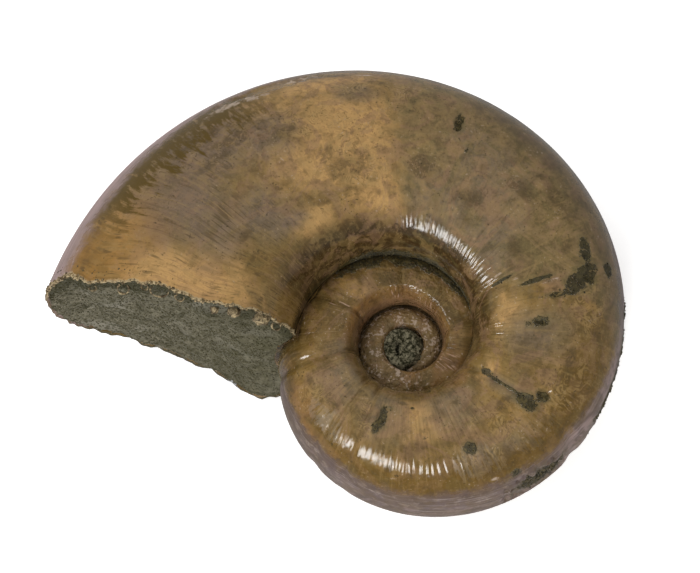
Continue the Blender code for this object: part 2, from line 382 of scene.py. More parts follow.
# turn, place across, half length in turns, half width, depth in metres
HOLLOWS = (
    (-0.495, -0.12, 0.06, 0.18, 0.00045), (-0.605, 0.05, 0.034, 0.2, 0.00045),
    (-0.263, 0.69, 0.003, 0.06, 0.0005), (-0.44, 0.86, 0.012, 0.03, 0.00045),
    (-0.428, 0.62, 0.01, 0.06, 0.00035), (-0.47, 0.94, 0.006, 0.035, 0.0004),
    (-0.47, 1.24, 0.004, 0.025, 0.0004), (-0.549, 0.76, 0.01, 0.05, 0.0005),
    (-0.77, 0.97, 0.008, 0.05, 0.0003), (-0.145, 0.4, 0.03, 0.06, 0.00025),
    (-0.672, 1.63, 0.01, 0.06, 0.0003),
)
EDGE_HALF = 0.5
FRAY_SHARE, FRAY_REACH, HOLLOW_SLOPE = 0.9, 2.5, 1.6
FRAY_PER_TURN, FRAY_ACROSS = 220.0, 14.0


def frayed(turns, across, near_mark):
    """Noise that makes the outline of a hollow uneven, worked out only near the hollow."""
    ragged = np.zeros_like(turns)
    for number in np.flatnonzero(near_mark):
        spot = Vector((turns[number] * FRAY_PER_TURN, across[number] * FRAY_ACROSS, 3.0))
        ragged[number] = noise.fractal(spot, 0.8, 2.0, 3)
    return ragged


def relief(turns, across):
    height = np.zeros_like(turns)
    reach = 1.0 - np.abs(across) / 2.0
    for start, sweep, width, depth, on_edge in GROOVES:
        middle = start + sweep * reach
        across_edge = on_edge + (1.0 - on_edge) * ease(np.abs(across) / EDGE_HALF)
        height -= depth * np.exp(-(((turns - middle) / width) ** 2)) * ease(reach * SEAM_FADE) * across_edge
    for start, place, length, half, rise in SWELLINGS:
        height += rise * np.exp(-(((turns - start) / length) ** 2) - ((across - place) / half) ** 2)
    for start, place, length, half, depth in HOLLOWS:
        inside = ((turns - start) / length) ** 2 + ((across - place) / half) ** 2
        inside = inside + FRAY_SHARE * frayed(turns, across, inside < FRAY_REACH)
        height -= depth * ease((1.0 - inside) * HOLLOW_SLOPE)
    return height


raised = relief(pattern.turns, pattern.across)
print("deepest hollow, mm:", round(-1000 * raised.min(), 2))

# %% [markdown]
# ## Fields: arithmetic that builds nodes
#
# A Geometry Nodes or shader tree holds one Math node for each plus or times. Wiring a hundred of them
# by hand is slow to read, so this small class stands for a socket, and every NumPy operation on it
# adds the matching Math node. The coil's rule above then works on it unchanged.


# %% A socket that can be used in a formula
class Field(np.lib.mixins.NDArrayOperatorsMixin):
    # the nodes that are named differently from NumPy's function
    NODES = {"exp": "EXPONENT", "sin": "SINE", "cos": "COSINE", "less": "LESS_THAN", "greater": "GREATER_THAN"}

    def __init__(self, tree, socket):
        self.tree = tree
        self.socket = socket

    def __array_ufunc__(self, operation, method, *values, **options):
        name = operation.__name__
        if name == "negative":
            return self * -1.0
        made = self.tree.nodes.new("ShaderNodeMath")
        made.operation = self.NODES.get(name, name.upper())
        for socket, value in zip(made.inputs, values):
            connect(self.tree, socket, value if isinstance(value, Field) else float(value))
        return Field(self.tree, made.outputs[0])


def connect(tree, socket, value):
    """Feeds a socket from a field, a socket, a node's first output or a plain value."""
    if isinstance(value, bpy.types.Node):
        value = value.outputs[0]
    if isinstance(value, Field):
        value = value.socket
    if isinstance(value, bpy.types.NodeSocket):
        tree.links.new(value, socket)
    else:
        socket.default_value = value


def fill(tree, made, **inputs):
    """Feeds a node's inputs. An underscore in an input's name stands for a space."""
    for name, value in inputs.items():
        connect(tree, made.inputs[name.replace("_", " ")], value)
    return made


def node(tree, kind, settings=None, **inputs):
    """Adds a node. Settings are its properties."""
    made = tree.nodes.new(kind)
    for name, value in (settings or {}).items():
        setattr(made, name, value)
    return fill(tree, made, **inputs)


def new_tree(name, kind, inputs, outputs):
    """A tree with named sockets. A socket without a default is of the kind that its name says.
    Returns the tree, its inputs as fields and its output node."""
    tree = bpy.data.node_groups.new(name, kind)
    kinds = {float: "Float", int: "Int", str: "String"}
    for label, value in inputs.items():
        kind = "NodeSocket" + kinds.get(type(value), label)
        made = tree.interface.new_socket(label, in_out="INPUT", socket_type=kind)
        if value is not None:
            made.default_value = value
    for label in outputs:
        kind = "NodeSocket" + (label if label in ("Geometry", "Color") else "Float")
        tree.interface.new_socket(label, in_out="OUTPUT", socket_type=kind)
    source = tree.nodes.new("NodeGroupInput")
    fields = {label: Field(tree, source.outputs[label]) for label in inputs}
    return tree, fields, tree.nodes.new("NodeGroupOutput")


print("operations with a name of their own as nodes:", sorted(Field.NODES))

# %% [markdown]
# ## Winding the pattern into a shell
#
# The shell's form follows a rule, so Geometry Nodes wind it. The tree reads each point's turn and
# place, works out where the rule puts it, and moves it there. A second step lifts or sinks it along
# the normal by the relief, with some soft lumps, because a cast shell is never quite even. The lumps
# fade at the seams, where two whorls meet and have to stay joined.

# %% The winding tree
winding, given, winding_out = new_tree(
    "Wind a coiled shell",
    "GeometryNodeTree",
    {"Geometry": None, **COIL, "Lump height": 0.00006, "Lumps per metre": 260.0, "Material": None},
    ["Geometry"],
)


def attribute(tree, name):
    """A named attribute of the points, as a field."""
    reader = node(tree, "GeometryNodeInputNamedAttribute", {"data_type": "FLOAT"}, Name=name)
    return Field(tree, reader.outputs["Attribute"])


turn, place, side = (attribute(winding, name) for name in ("turn", "place", "side"))
radius, height = section(given, turn, place)
size = given["Outer radius"] * growth(given, turn)
angle = turn * (2.0 * np.pi) + float(BREAK_ANGLE)
spot = node(
    winding,
    "ShaderNodeCombineXYZ",
    X=size * radius * np.cos(angle),
    Y=size * radius * np.sin(angle),
    Z=size * height * side,
)
wound = node(winding, "GeometryNodeSetPosition", Geometry=given["Geometry"], Position=spot)
lumps = node(winding, "ShaderNodeTexNoise", Scale=given["Lumps per metre"], Detail=3.0)
open_flank = ease((place + 1.0) * SEAM_FADE)
lump = given["Lump height"] * (Field(winding, lumps.outputs["Fac"]) - 0.5) * open_flank
lift = attribute(winding, "raise") + lump
normal = node(winding, "GeometryNodeInputNormal")
push = node(winding, "ShaderNodeVectorMath", {"operation": "SCALE"}, Vector=normal, Scale=lift)
eased = node(winding, "GeometryNodeSetPosition", Geometry=wound, Offset=push)
real = node(winding, "GeometryNodeRealizeInstances", Geometry=eased)
painted = node(winding, "GeometryNodeSetMaterial", Geometry=real, Material=given["Material"])
fill(winding, winding_out, Geometry=painted)
print("winding tree:", len(winding.nodes), "nodes")

# %% Wind the pattern
# size of the flat pattern: length of a turn, and half the width across
PAPER_TURN, PAPER_HALF = 0.1, 0.01


def new_material(name):
    material = bpy.data.materials.new(name)
    material.use_nodes = True
    return material


def mesh_with(name, points, faces, values):
    """A mesh with named numbers stored on its points."""
    mesh = bpy.data.meshes.new(name)
    mesh.from_pydata(np.asarray(points).tolist(), [], faces)
    for key, numbers in values.items():
        stored = mesh.attributes.new(key, "FLOAT", "POINT")
        stored.data.foreach_set("value", np.asarray(numbers, np.float32))
    return mesh


def evaluated(mesh, tree, inputs):
    """Runs a Geometry Nodes tree on a mesh and returns the resulting mesh."""
    carrier = add_object("carrier", mesh)
    modifier = carrier.modifiers.new("nodes", "NODES")
    modifier.node_group = tree
    for item in tree.interface.items_tree:
        if item.in_out == "INPUT" and item.name in inputs:
            modifier[item.identifier] = inputs[item.name]
    graph = bpy.context.evaluated_depsgraph_get()
    made = bpy.data.meshes.new_from_object(carrier.evaluated_get(graph), depsgraph=graph)
    carrier.modifiers.clear()
    bpy.data.objects.remove(carrier)
    return made


shell_stone = new_material("polished_shell")
flat = np.stack([pattern.turns * PAPER_TURN, pattern.across * PAPER_HALF, np.zeros(len(pattern.turns))], -1)
pattern_faces = [face for faces in pattern.faces.values() for face in faces]
known = {
    "turn": pattern.turns,
    "place": 1.0 - np.abs(pattern.across),
    "side": np.where(pattern.across >= 0, 1.0, -1.0),
    "raise": raised,
}
shell = evaluated(mesh_with("paper", flat, pattern_faces, known), winding, {**COIL, "Material": shell_stone})
wound_points = np.empty(len(shell.vertices) * 3)
shell.vertices.foreach_get("co", wound_points)
wound_points = wound_points.reshape(-1, 3)
print("wound shell, mm:", (1000 * np.ptp(wound_points, axis=0)).round(1))

# %% [markdown]
# ## Cutting the shell into pieces
#
# The wound shell is cut where nature drew a line: at the seams. The last whorl is one piece, and the
# inner whorls of each side are two more. Each is closed behind, inside the stone, so that it is a
# solid piece with no open edge. The last whorl's broken end is a shallow tray: the thickness of the
# shell, a wall that runs back, and a hidden floor that the sandstone will cover.

# %% Helpers that close a piece
SHELL_THICKNESS = 0.00045
TRAY_DEPTH = 0.0020
CORE = 0.001
SECTION_CENTRE = (0.0334, 0.0)
EDGE_STEPS = 300


class Solid:
    """Points, faces and stored numbers of a piece, in the shell's frame."""

    def __init__(self, points):
        self.points = [tuple(point) for point in points]
        self.faces = []

    def add(self, points):
        first = len(self.points)
        self.points.extend(tuple(point) for point in points)
        return list(range(first, len(self.points)))

    def bridge(self, loop, next_loop, flipped=False):
        """Faces between two closed loops of as many points."""
        if flipped:
            loop, next_loop = next_loop, loop
        for a, b, c, d in zip(loop, next_loop, next_loop[1:] + next_loop[:1], loop[1:] + loop[:1]):
            face = list(dict.fromkeys((a, b, c, d)))
            if len(face) > 2:
                self.faces.append(face)

    def stack(self, loops, flipped=False):
        """Faces between each loop and the next."""
        for loop, next_loop in zip(loops, loops[1:]):
            self.bridge(loop, next_loop, flipped)

    def fan(self, loop, point, flipped=False):
        """Faces from a closed loop to one point."""
        self.bridge(loop, self.add([point]) * len(loop), flipped)

    def spots(self, loop):
        return np.array([self.points[number] for number in loop])


def flattened(points):
    """Points seen in their section plane: distance from the coil's axis, and height."""
    return np.stack([np.hypot(points[:, 0], points[:, 1]), points[:, 2]], -1)


def rolled(points, back, inward=None):
    """Points moved back from the break, and inward in their own section plane, both in metres."""
    radius, height = flattened(points).T
    out, up = (0.0, 0.0) if inward is None else inward.T
    angle = np.arctan2(points[:, 1], points[:, 0]) - back / radius
    return np.stack([(radius + out) * np.cos(angle), (radius + out) * np.sin(angle), height + up], -1)


def inward_normals(points):
    """For a closed loop seen in the section plane: unit directions into the section."""
    flat = flattened(points)
    along = np.roll(flat, -1, axis=0) - np.roll(flat, 1, axis=0)
    along /= np.maximum(np.linalg.norm(along, axis=1), 1e-9)[:, None]
    normals = np.stack([-along[:, 1], along[:, 0]], -1)
    middle = flat.mean(axis=0)
    return normals * np.sign(((middle - flat) * normals).sum(axis=1).sum())


# The broken end's loop runs from the near seam over the lip to the far seam, and back over the whorl below.
break_loop = whorl_rows[0] + last_row[NEAR_STRIP + 1 : COLUMNS - FAR_STRIP][::-1]
lip = wound_points[break_loop]
lip_inward = inward_normals(lip)
edge_radii, edge_heights = section(COIL, np.zeros(EDGE_STEPS), np.linspace(-1.0, 1.0, EDGE_STEPS))


def edge_table(side):
    """Radius, height and angle of the unbitten edge on one side, in the shell's frame."""
    lead = break_lead(edge_radii, side)
    size = COIL["Outer radius"] * growth(COIL, lead)
    return size * edge_radii, size * edge_heights * side, BREAK_ANGLE + 2.0 * np.pi * lead


near_edge, far_edge = edge_table(1.0), edge_table(-1.0)


def face_ring(outline, share):
    """A ring of the broken face: its outline, shrunk to a share towards the middle of the section."""
    radius, height = (SECTION_CENTRE + (outline - SECTION_CENTRE) * share).T
    top, bottom = (np.interp(radius, edge[0], edge[1]) for edge in (near_edge, far_edge))
    near, far = (np.interp(radius, edge[0], edge[2]) for edge in (near_edge, far_edge))
    down = np.clip((top - height) / np.maximum(top - bottom, 1e-5), 0.0, 1.0)
    angle = near + (far - near) * down
    return np.stack([radius * np.cos(angle), radius * np.sin(angle), height], -1)


def below_lip(spots):
    """How far points of the broken face lie under the near lip, in metres."""
    radius, height = flattened(spots).T
    return np.interp(radius, near_edge[0], near_edge[1]) - height


def section_outline(inset):
    """The lip's loop in the section plane, moved inwards."""
    return flattened(lip) + lip_inward * inset


print("broken end's loop:", len(break_loop), "points")

# %% Close the last whorl
LIP_REACH, FAR_LIP_SHARE = 0.0032, 0.12
LIP_WEAR_LENGTH, LIP_BEVEL = 0.0006, 0.00012
FLOOR_SHARES = (0.9, 0.7, 0.5, 0.3, 0.15)
near_seam_loop = [row[0] for row in whorl_rows] + last_row[1:NEAR_STRIP]
far_seam_loop = [row[-1] for row in whorl_rows] + last_row[COLUMNS - FAR_STRIP + 1 : COLUMNS][::-1]


def shell_part(name):
    """A piece of the wound shell, still open behind."""
    solid = Solid(wound_points)
    solid.faces = [list(face) for face in pattern.faces[name]]
    return solid


def close_behind(solid, loop, side, inwards):
    """Runs a seam loop straight down to a plane inside the stone, and fills it there."""
    spots = solid.spots(loop)
    spots[:, 2] = side * CORE
    under = solid.add(spots)
    solid.bridge(loop, under, inwards)
    solid.fan(under, (0.0, 0.0, side * CORE), inwards)


last_whorl = shell_part("last_whorl")
close_behind(last_whorl, near_seam_loop, 1.0, False)
close_behind(last_whorl, far_seam_loop, -1.0, True)
worn = np.array([noise.noise(Vector(point) / LIP_WEAR_LENGTH) for point in lip])
thick = SHELL_THICKNESS * (1.0 + 0.5 * worn)
lip_inner = last_whorl.add(rolled(lip, LIP_BEVEL * (1.0 + 2.0 * worn), lip_inward * thick[:, None]))
tray = [last_whorl.add(rolled(lip, TRAY_DEPTH, lip_inward * (thick * 1.1)[:, None]))]
for share in FLOOR_SHARES:
    floor_ring = face_ring(section_outline(SHELL_THICKNESS), share)
    tray.append(last_whorl.add(rolled(floor_ring, 1.6 * TRAY_DEPTH)))
last_whorl.stack([break_loop, lip_inner, *tray], flipped=True)
last_whorl.fan(tray[-1], last_whorl.spots(tray[-1]).mean(axis=0), flipped=True)

near_coil, far_coil = shell_part("near_coil"), shell_part("far_coil")
close_behind(near_coil, near_seam_loop, 1.0, True)
close_behind(far_coil, far_seam_loop, -1.0, False)


def finished(name, solid, material, values):
    """Makes a piece's object: drops unused points, lays it as the stone lies and stores its numbers."""
    used = np.unique(np.concatenate([np.array(face) for face in solid.faces]))
    renumber = np.full(len(solid.points), -1)
    renumber[used] = np.arange(len(used))
    faces = [renumber[face].tolist() for face in solid.faces]
    stored = {}
    for key, numbers in values.items():
        full = np.zeros(len(solid.points))
        full[: len(numbers)] = numbers
        stored[key] = full[used]
    mesh = mesh_with(name, np.array(solid.points)[used], faces, stored)
    mesh.transform(AS_IT_LIES)
    mesh.materials.append(material)
    mesh.shade_smooth()
    return as_piece(name, mesh)


def as_piece(name, mesh):
    """Gives a mesh to the fossil, keeps it above the ground and checks that it is closed."""
    for point in mesh.vertices:
        point.co.z = max(point.co.z, 0.0)
    piece = add_object(name, mesh)
    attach(piece, "root")
    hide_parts("ammonite")
    edges = bmesh.new()
    edges.from_mesh(mesh)
    open_edges = sum(1 for edge in edges.edges if not edge.is_manifold)
    volume = edges.calc_volume(signed=True)
    edges.free()
    mesh.calc_loop_triangles()
    print(name, len(mesh.loop_triangles), "triangles,", open_edges, "open edges,", round(volume * 1e6, 2), "cm3")
    return piece


def shell_values(solid):
    """Numbers stored on a piece of shell: its places, and a mask that is 1 on the broken edge of the
    near side and FAR_LIP_SHARE on that of the far side."""
    behind, across = np.ones(len(solid.points)), np.zeros(len(solid.points))
    behind[: len(pattern.turns)] = pattern.behind
    across[: len(pattern.turns)] = pattern.across
    if solid is last_whorl:
        edge = len(whorl_rows[0])
        behind[lip_inner[:edge]] = 0.0
        across[lip_inner[:edge]] = pattern.across[whorl_rows[0]]
    by_side = FAR_LIP_SHARE + (1.0 - FAR_LIP_SHARE) * ease(across * 6.0)
    return {"behind": behind, "across": across, "lip": ease(1.0 - behind / LIP_REACH) * by_side}


pieces = {
    name: finished(name, solid, shell_stone, shell_values(solid))
    for name, solid in (("last_whorl", last_whorl), ("near_coil", near_coil), ("far_coil", far_coil))
}

# %% [markdown]
# ## The sandstone in the broken end
#
# The filling is fine green sandstone. It breaks unevenly, a little behind the shell's lip. Its face is
# a net of rings that shrink towards the middle, and each point is moved along the coil by the rock's
# lumps. The piece has a hidden back, inside the tray.

# %% The broken face
ROCK_RINGS, ROCK_LOOP = 110, 640
BREAK_RELIEF, BREAK_HOLLOW, BREAK_GRAIN = 0.0014, 0.0006, 0.006
CHIP_HEIGHT, CHIP_SIZE, RIM_DIP = 0.00022, 0.0016, 0.00015


def resampled(loop, count):
    """A closed loop of points, spaced evenly."""
    closed = np.vstack([loop, loop[:1]])
    along = np.r_[0.0, np.cumsum(np.linalg.norm(np.diff(closed, axis=0), axis=1))]
    wanted = np.linspace(0.0, along[-1], count, endpoint=False)
    return np.stack([np.interp(wanted, along, closed[:, axis]) for axis in range(closed.shape[1])], -1)


def rock_lift(spot, away):
    """How far the rock stands out at a spot. Its lumps fade where the distance from the rim is 0."""
    lumps, chips = noise.noise(spot / BREAK_GRAIN), noise.fractal(spot / CHIP_SIZE, 0.9, 2.1, 4)
    return away * (BREAK_RELIEF * lumps - BREAK_HOLLOW) + CHIP_HEIGHT * chips


outline = resampled(section_outline(SHELL_THICKNESS * 0.7), ROCK_LOOP)
rock = Solid([])
rings = []
for share in np.linspace(1.0, 0.0, ROCK_RINGS, endpoint=False):
    spots = face_ring(outline, share)
    ahead = np.array([rock_lift(Vector(spot), np.sqrt(1.0 - share**4)) for spot in spots])
    dip = RIM_DIP * (1.0 - ease((1.0 - share) * 12.0))
    rings.append(rock.add(rolled(spots, dip - ahead)))
middle_spot = rock.spots(rings[-1]).mean(axis=0)
rim_back = rock.add(rolled(rock.spots(rings[0]), TRAY_DEPTH * 0.8))
rock.stack(rings, flipped=True)
rock.fan(rings[-1], middle_spot, flipped=True)
rock.bridge(rings[0], rim_back)
rock.fan(rim_back, rolled(middle_spot[None], TRAY_DEPTH * 1.4)[0])
sandstone = new_material("green_sandstone")
rock_spots = np.array(rock.points)
rock_values = {
    "below_lip": below_lip(rock_spots),
    "radius": flattened(rock_spots)[:, 0],
    "open": np.arange(len(rock_spots)) < ROCK_RINGS * ROCK_LOOP,
}
pieces["broken_face"] = finished("broken_face", rock, sandstone, rock_values)

# %% [markdown]
# ## The sandstone in the middle
#
# The smallest whorls are hidden: a plug of the same sandstone fills the bottom of each umbilicus. It
# is a lump with a flat, gritty top and steep sides, a little off the coil's axis. A narrow slot is worn
# into the near one.

# %% Plugs
PLUG_RADIUS, PLUG_HEIGHT, PLUG_PLACE = 0.0034, 0.0034, Vector((-0.0009, -0.0004, 0.0))
PLUG_GRIT, PLUG_GRIT_SIZE, PLUG_WOBBLE = 0.00034, 0.0011, 0.05
SLOT_PLACE, SLOT_SIZE, SLOT_DEPTH = (0.0005, 0.0003), (0.00030, 0.00095), 0.0018
plug_stone = new_material("plug_sandstone")


def plug_spot(angle, share, side):
    """A point of a plug, at an angle and a share of the way out."""
    wobble = 1.0 + PLUG_WOBBLE * noise.noise(Vector((np.cos(angle), np.sin(angle), side)) * 1.7)
    out = PLUG_RADIUS * share * wobble
    spot = Vector((out * np.cos(angle), out * np.sin(angle), 0.0))
    grit = PLUG_GRIT * noise.fractal(spot / PLUG_GRIT_SIZE + Vector((0, 0, 7 * side)), 0.8, 2.1, 4)
    slot = np.hypot((spot.x + SLOT_PLACE[0]) / SLOT_SIZE[0], (spot.y + SLOT_PLACE[1]) / SLOT_SIZE[1])
    level = PLUG_HEIGHT * (1.0 - min(share, 1.0) ** 8) + grit * (1.0 - share**6)
    level -= SLOT_DEPTH * ease(1.6 - 1.2 * slot) * (side > 0)
    spot.z = side * level
    return spot + PLUG_PLACE


def plug(name, side, ring_count, loop_count):
    lump = Solid([])
    angles = np.linspace(0.0, 2.0 * np.pi, loop_count, endpoint=False)
    shares = np.linspace(1.08, 0.0, ring_count, endpoint=False)
    loops = [lump.add([plug_spot(angle, share, side) for angle in angles]) for share in shares]
    lump.stack(loops[::-1] if side > 0 else loops)
    lump.fan(loops[-1], lump.spots(loops[-1]).mean(axis=0), side > 0)
    lump.fan(loops[0], (*PLUG_PLACE.xy, -side * 0.0002), side < 0)
    heights = np.array(lump.points)[:, 2] * side
    return finished(name, lump, plug_stone, {"open": heights > 0.6 * PLUG_HEIGHT})


pieces["near_plug"] = plug("near_plug", 1.0, 44, 180)
pieces["far_plug"] = plug("far_plug", -1.0, 24, 96)

# %% [markdown]
# ## Marks on the shell
#
# Many marks on a fossil have their own places: pale and grey patches, crusts of sandstone left in
# cracks and pits, and the curly lines where the chambers' walls met the shell. Each is a line in a
# table. The tables are turned into soft spots on the points, and the material later frays their edges
# with noise, so that no spot looks like an ellipse.

# %% Placed marks
# turn behind the break, place across, half length in turns, half width
STAINS = {
    "pale": (
        (0.178, 0.84, 0.056, 0.36), (0.128, 0.66, 0.034, 0.18), (0.172, 0.52, 0.04, 0.14),
        (0.195, 1.24, 0.036, 0.34), (0.14, 0.96, 0.034, 0.18), (0.012, 1.0, 0.024, 0.4),
        (0.11, 1.3, 0.03, 0.16), (0.455, 1.22, 0.03, 0.2), (0.56, 1.18, 0.02, 0.16), (0.7, 1.1, 0.06, 0.24),
        (1.095, 0.92, 0.02, 0.26), (0.03, 0.64, 0.022, 0.16),
    ),
    "grey": (
        (0.094, 0.66, 0.042, 0.3), (0.056, 0.8, 0.036, 0.3), (0.124, 0.76, 0.026, 0.18),
        (0.19, 0.62, 0.016, 0.1), (0.082, 1.06, 0.026, 0.16), (0.484, 1.0, 0.036, 0.26),
        (0.87, 1.05, 0.06, 0.36), (0.3, 0.86, 0.05, 0.22), (0.955, 1.15, 0.04, 0.3),
        (0.345, 1.2, 0.055, 0.26), (0.175, 0.33, 0.03, 0.14), (0.63, 0.6, 0.05, 0.24),
        (0.775, 1.1, 0.06, 0.36), (0.65, 1.15, 0.06, 0.3), (0.27, 1.2, 0.05, 0.3), (0.087, 1.2, 0.03, 0.12),
        (0.565, 0.98, 0.014, 0.22), (0.345, 1.06, 0.028, 0.18), (0.77, 0.97, 0.02, 0.16),
    ),
    "crust": (
        (0.5625, 1.06, 0.0028, 0.2), (0.565, 0.82, 0.0085, 0.08), (0.558, 1.25, 0.006, 0.08),
        (0.552, 0.76, 0.006, 0.05), (0.767, 0.97, 0.0095, 0.09), (0.771, 0.9, 0.007, 0.06),
        (0.758, 1.04, 0.006, 0.05), (0.672, 1.6, 0.007, 0.07), (0.716, 1.13, 0.005, 0.03),
        (0.651, 0.76, 0.008, 0.05), (0.62, 0.36, 0.006, 0.05), (0.407, 0.63, 0.011, 0.05),
        (0.424, 0.64, 0.01, 0.09), (0.433, 0.74, 0.01, 0.07), (0.44, 0.85, 0.004, 0.11),
        (0.401, 1.22, 0.0024, 0.13), (0.419, 0.99, 0.0026, 0.1), (0.424, 0.43, 0.006, 0.05),
        (0.47, 0.95, 0.0085, 0.055), (0.47, 1.24, 0.0045, 0.025), (0.263, 0.69, 0.0036, 0.065),
        (0.275, 0.85, 0.0025, 0.012), (0.495, 0.04, 0.05, 0.09), (0.45, 0.06, 0.02, 0.05),
        (0.604, 0.07, 0.025, 0.14), (0.19, 2.0, 0.09, 0.1), (0.28, 2.0, 0.09, 0.11), (0.36, 2.0, 0.05, 0.1),
        (1.14, 0.68, 0.05, 0.12), (1.235, 0.68, 0.07, 0.14), (1.33, 0.7, 0.06, 0.13),
    ),
    # painted highlights: places of pink highlight strokes on the ribs
    "rib_highlight": (
        (1.055, 0.95, 0.014, 0.14), (1.188, 1.46, 0.022, 0.24), (1.557, 1.0, 0.045, 0.36),
        (1.527, 1.39, 0.03, 0.22), (1.3, 1.52, 0.07, 0.22),
    ),
    "worn": (
        (0.842, 0.64, 0.034, 0.16), (0.65, 0.62, 0.03, 0.18), (0.585, 0.66, 0.03, 0.18),
    ),
    "ridge": (
        (0.735, 0.76, 0.105, 0.38), (0.335, 1.34, 0.12, 0.26), (0.818, 0.66, 0.022, 0.26),
        (1.058, 1.0, 0.018, 0.34), (1.19, 1.25, 0.034, 0.45), (1.31, 1.4, 0.06, 0.45), (1.52, 0.9, 0.11, 0.5),
        (0.47, 1.28, 0.04, 0.18), (0.65, 0.95, 0.05, 0.2),
    ),
    "red": (
        (0.885, 0.52, 0.036, 0.17), (0.845, 0.42, 0.05, 0.08), (1.56, 0.8, 0.1, 0.4),
        (1.05, 1.35, 0.06, 0.25), (0.225, 1.64, 0.06, 0.16), (0.33, 1.68, 0.06, 0.14),
        (0.178, 1.62, 0.024, 0.1), (0.595, 1.45, 0.03, 0.14), (1.72, 1.3, 0.04, 0.5),
    ),
    "smudge": (
        (0.166, 1.01, 0.024, 0.048), (0.152, 0.95, 0.01, 0.04), (0.182, 0.97, 0.009, 0.036),
        (0.095, 0.6, 0.014, 0.05), (0.106, 0.72, 0.013, 0.045), (0.118, 0.64, 0.012, 0.05),
        (0.088, 0.76, 0.012, 0.035), (0.132, 0.8, 0.012, 0.04), (0.06, 1.05, 0.01, 0.035),
        (0.045, 1.22, 0.012, 0.04), (0.128, 1.18, 0.014, 0.05), (0.182, 0.42, 0.008, 0.025),
        (0.206, 0.52, 0.008, 0.03), (0.24, 0.98, 0.014, 0.05), (0.3, 1.02, 0.02, 0.05),
        (0.334, 0.82, 0.018, 0.05), (0.376, 1.02, 0.016, 0.05), (0.36, 0.66, 0.022, 0.06),
        (0.505, 0.72, 0.012, 0.04), (0.585, 0.92, 0.012, 0.04), (0.64, 1.12, 0.014, 0.05),
        (0.735, 1.2, 0.014, 0.05), (0.815, 1.05, 0.02, 0.07), (0.86, 0.82, 0.02, 0.06),
        (0.905, 0.72, 0.012, 0.04), (1.02, 1.05, 0.03, 0.12), (1.175, 1.02, 0.03, 0.12),
        (1.4, 1.05, 0.04, 0.14),
    ),
    "flake": (
        (0.122, 0.45, 0.016, 0.05), (0.134, 0.49, 0.008, 0.025), (0.16, 0.39, 0.014, 0.024),
        (0.391, 1.3, 0.0022, 0.12), (0.408, 1.08, 0.002, 0.07), (0.425, 0.88, 0.002, 0.06),
        (0.2, 0.42, 0.006, 0.012), (0.12, 0.92, 0.003, 0.03), (0.64, 0.4, 0.006, 0.02),
    ),
    "suture": (
        (0.175, 1.0, 0.03, 0.2), (0.15, 0.78, 0.028, 0.14), (0.205, 0.6, 0.036, 0.1),
        (0.455, 0.64, 0.034, 0.18), (0.535, 0.62, 0.04, 0.24), (0.61, 0.86, 0.034, 0.24),
        (0.64, 0.62, 0.04, 0.16), (0.79, 0.95, 0.035, 0.2), (0.88, 0.7, 0.04, 0.2),
    ),
}


def placed(table, behind, across):
    """1 in the middle of each mark, 0 at its edge, and down to -1 beyond it."""
    mark = np.full(len(behind), -1.0)
    for turn, place, length, half in table:
        inside = 1.0 - np.hypot((behind - turn) / length, (across - place) / half)
        mark = np.maximum(mark, inside)
    return mark


for piece in (pieces["last_whorl"], pieces["near_coil"], pieces["far_coil"]):
    behind, across = np.empty(len(piece.data.vertices)), np.empty(len(piece.data.vertices))
    piece.data.attributes["behind"].data.foreach_get("value", behind)
    piece.data.attributes["across"].data.foreach_get("value", across)
    for name, table in STAINS.items():
        stored = piece.data.attributes.new(name, "FLOAT", "POINT")
        stored.data.foreach_set("value", placed(table, behind, across).astype(np.float32))
print("placed marks:", {name: len(table) for name, table in STAINS.items()})

# %% [markdown]
# ## Grains and crumbs
#
# Sand grains stand out of the broken face, the plugs and the crusts, and crumbs of shell hang along the
# lip. There are thousands, so Geometry Nodes scatter them: points are strewn over a piece where a
# stored mask allows it, a twenty-sided grain is set on each with its own size and turn, and a little
# noise makes no two alike. Only the grains come out, as a piece of their own, half sunk in the surface.

# %% The scattering tree
scatter, wanted, scatter_out = new_tree(
    "Scatter grains",
    "GeometryNodeTree",
    {
        "Geometry": None,
        "Mask": "open",
        "Grains per area": 3.0e6,
        "Smallest": 0.00008,
        "Largest": 0.00018,
        "Fraying": 0.0,
        "Threshold": 0.5,
        "Lumpiness": 0.00005,
        "Seed": 1,
        "Material": None,
    },
    ["Geometry"],
)
GRAIN_SCALES = (0.6, 0.6, 0.6), (1.3, 1.3, 1.3)
GRAIN_TURNS = (0.0, 0.0, 0.0), (6.28, 6.28, 6.28)


def random_value(low, high):
    """A random number or vector for each grain, with the tree's seed."""
    vector = isinstance(low, tuple)
    settings = {"data_type": "FLOAT_VECTOR" if vector else "FLOAT"}
    made = node(scatter, "FunctionNodeRandomValue", settings, Seed=wanted["Seed"])
    for socket, value in zip(made.inputs[0:2] if vector else made.inputs[2:4], (low, high)):
        connect(scatter, socket, value)
    return made.outputs[0 if vector else 1]


def vector_math(operation, vector, **inputs):
    return node(scatter, "ShaderNodeVectorMath", {"operation": operation}, Vector=vector, **inputs)


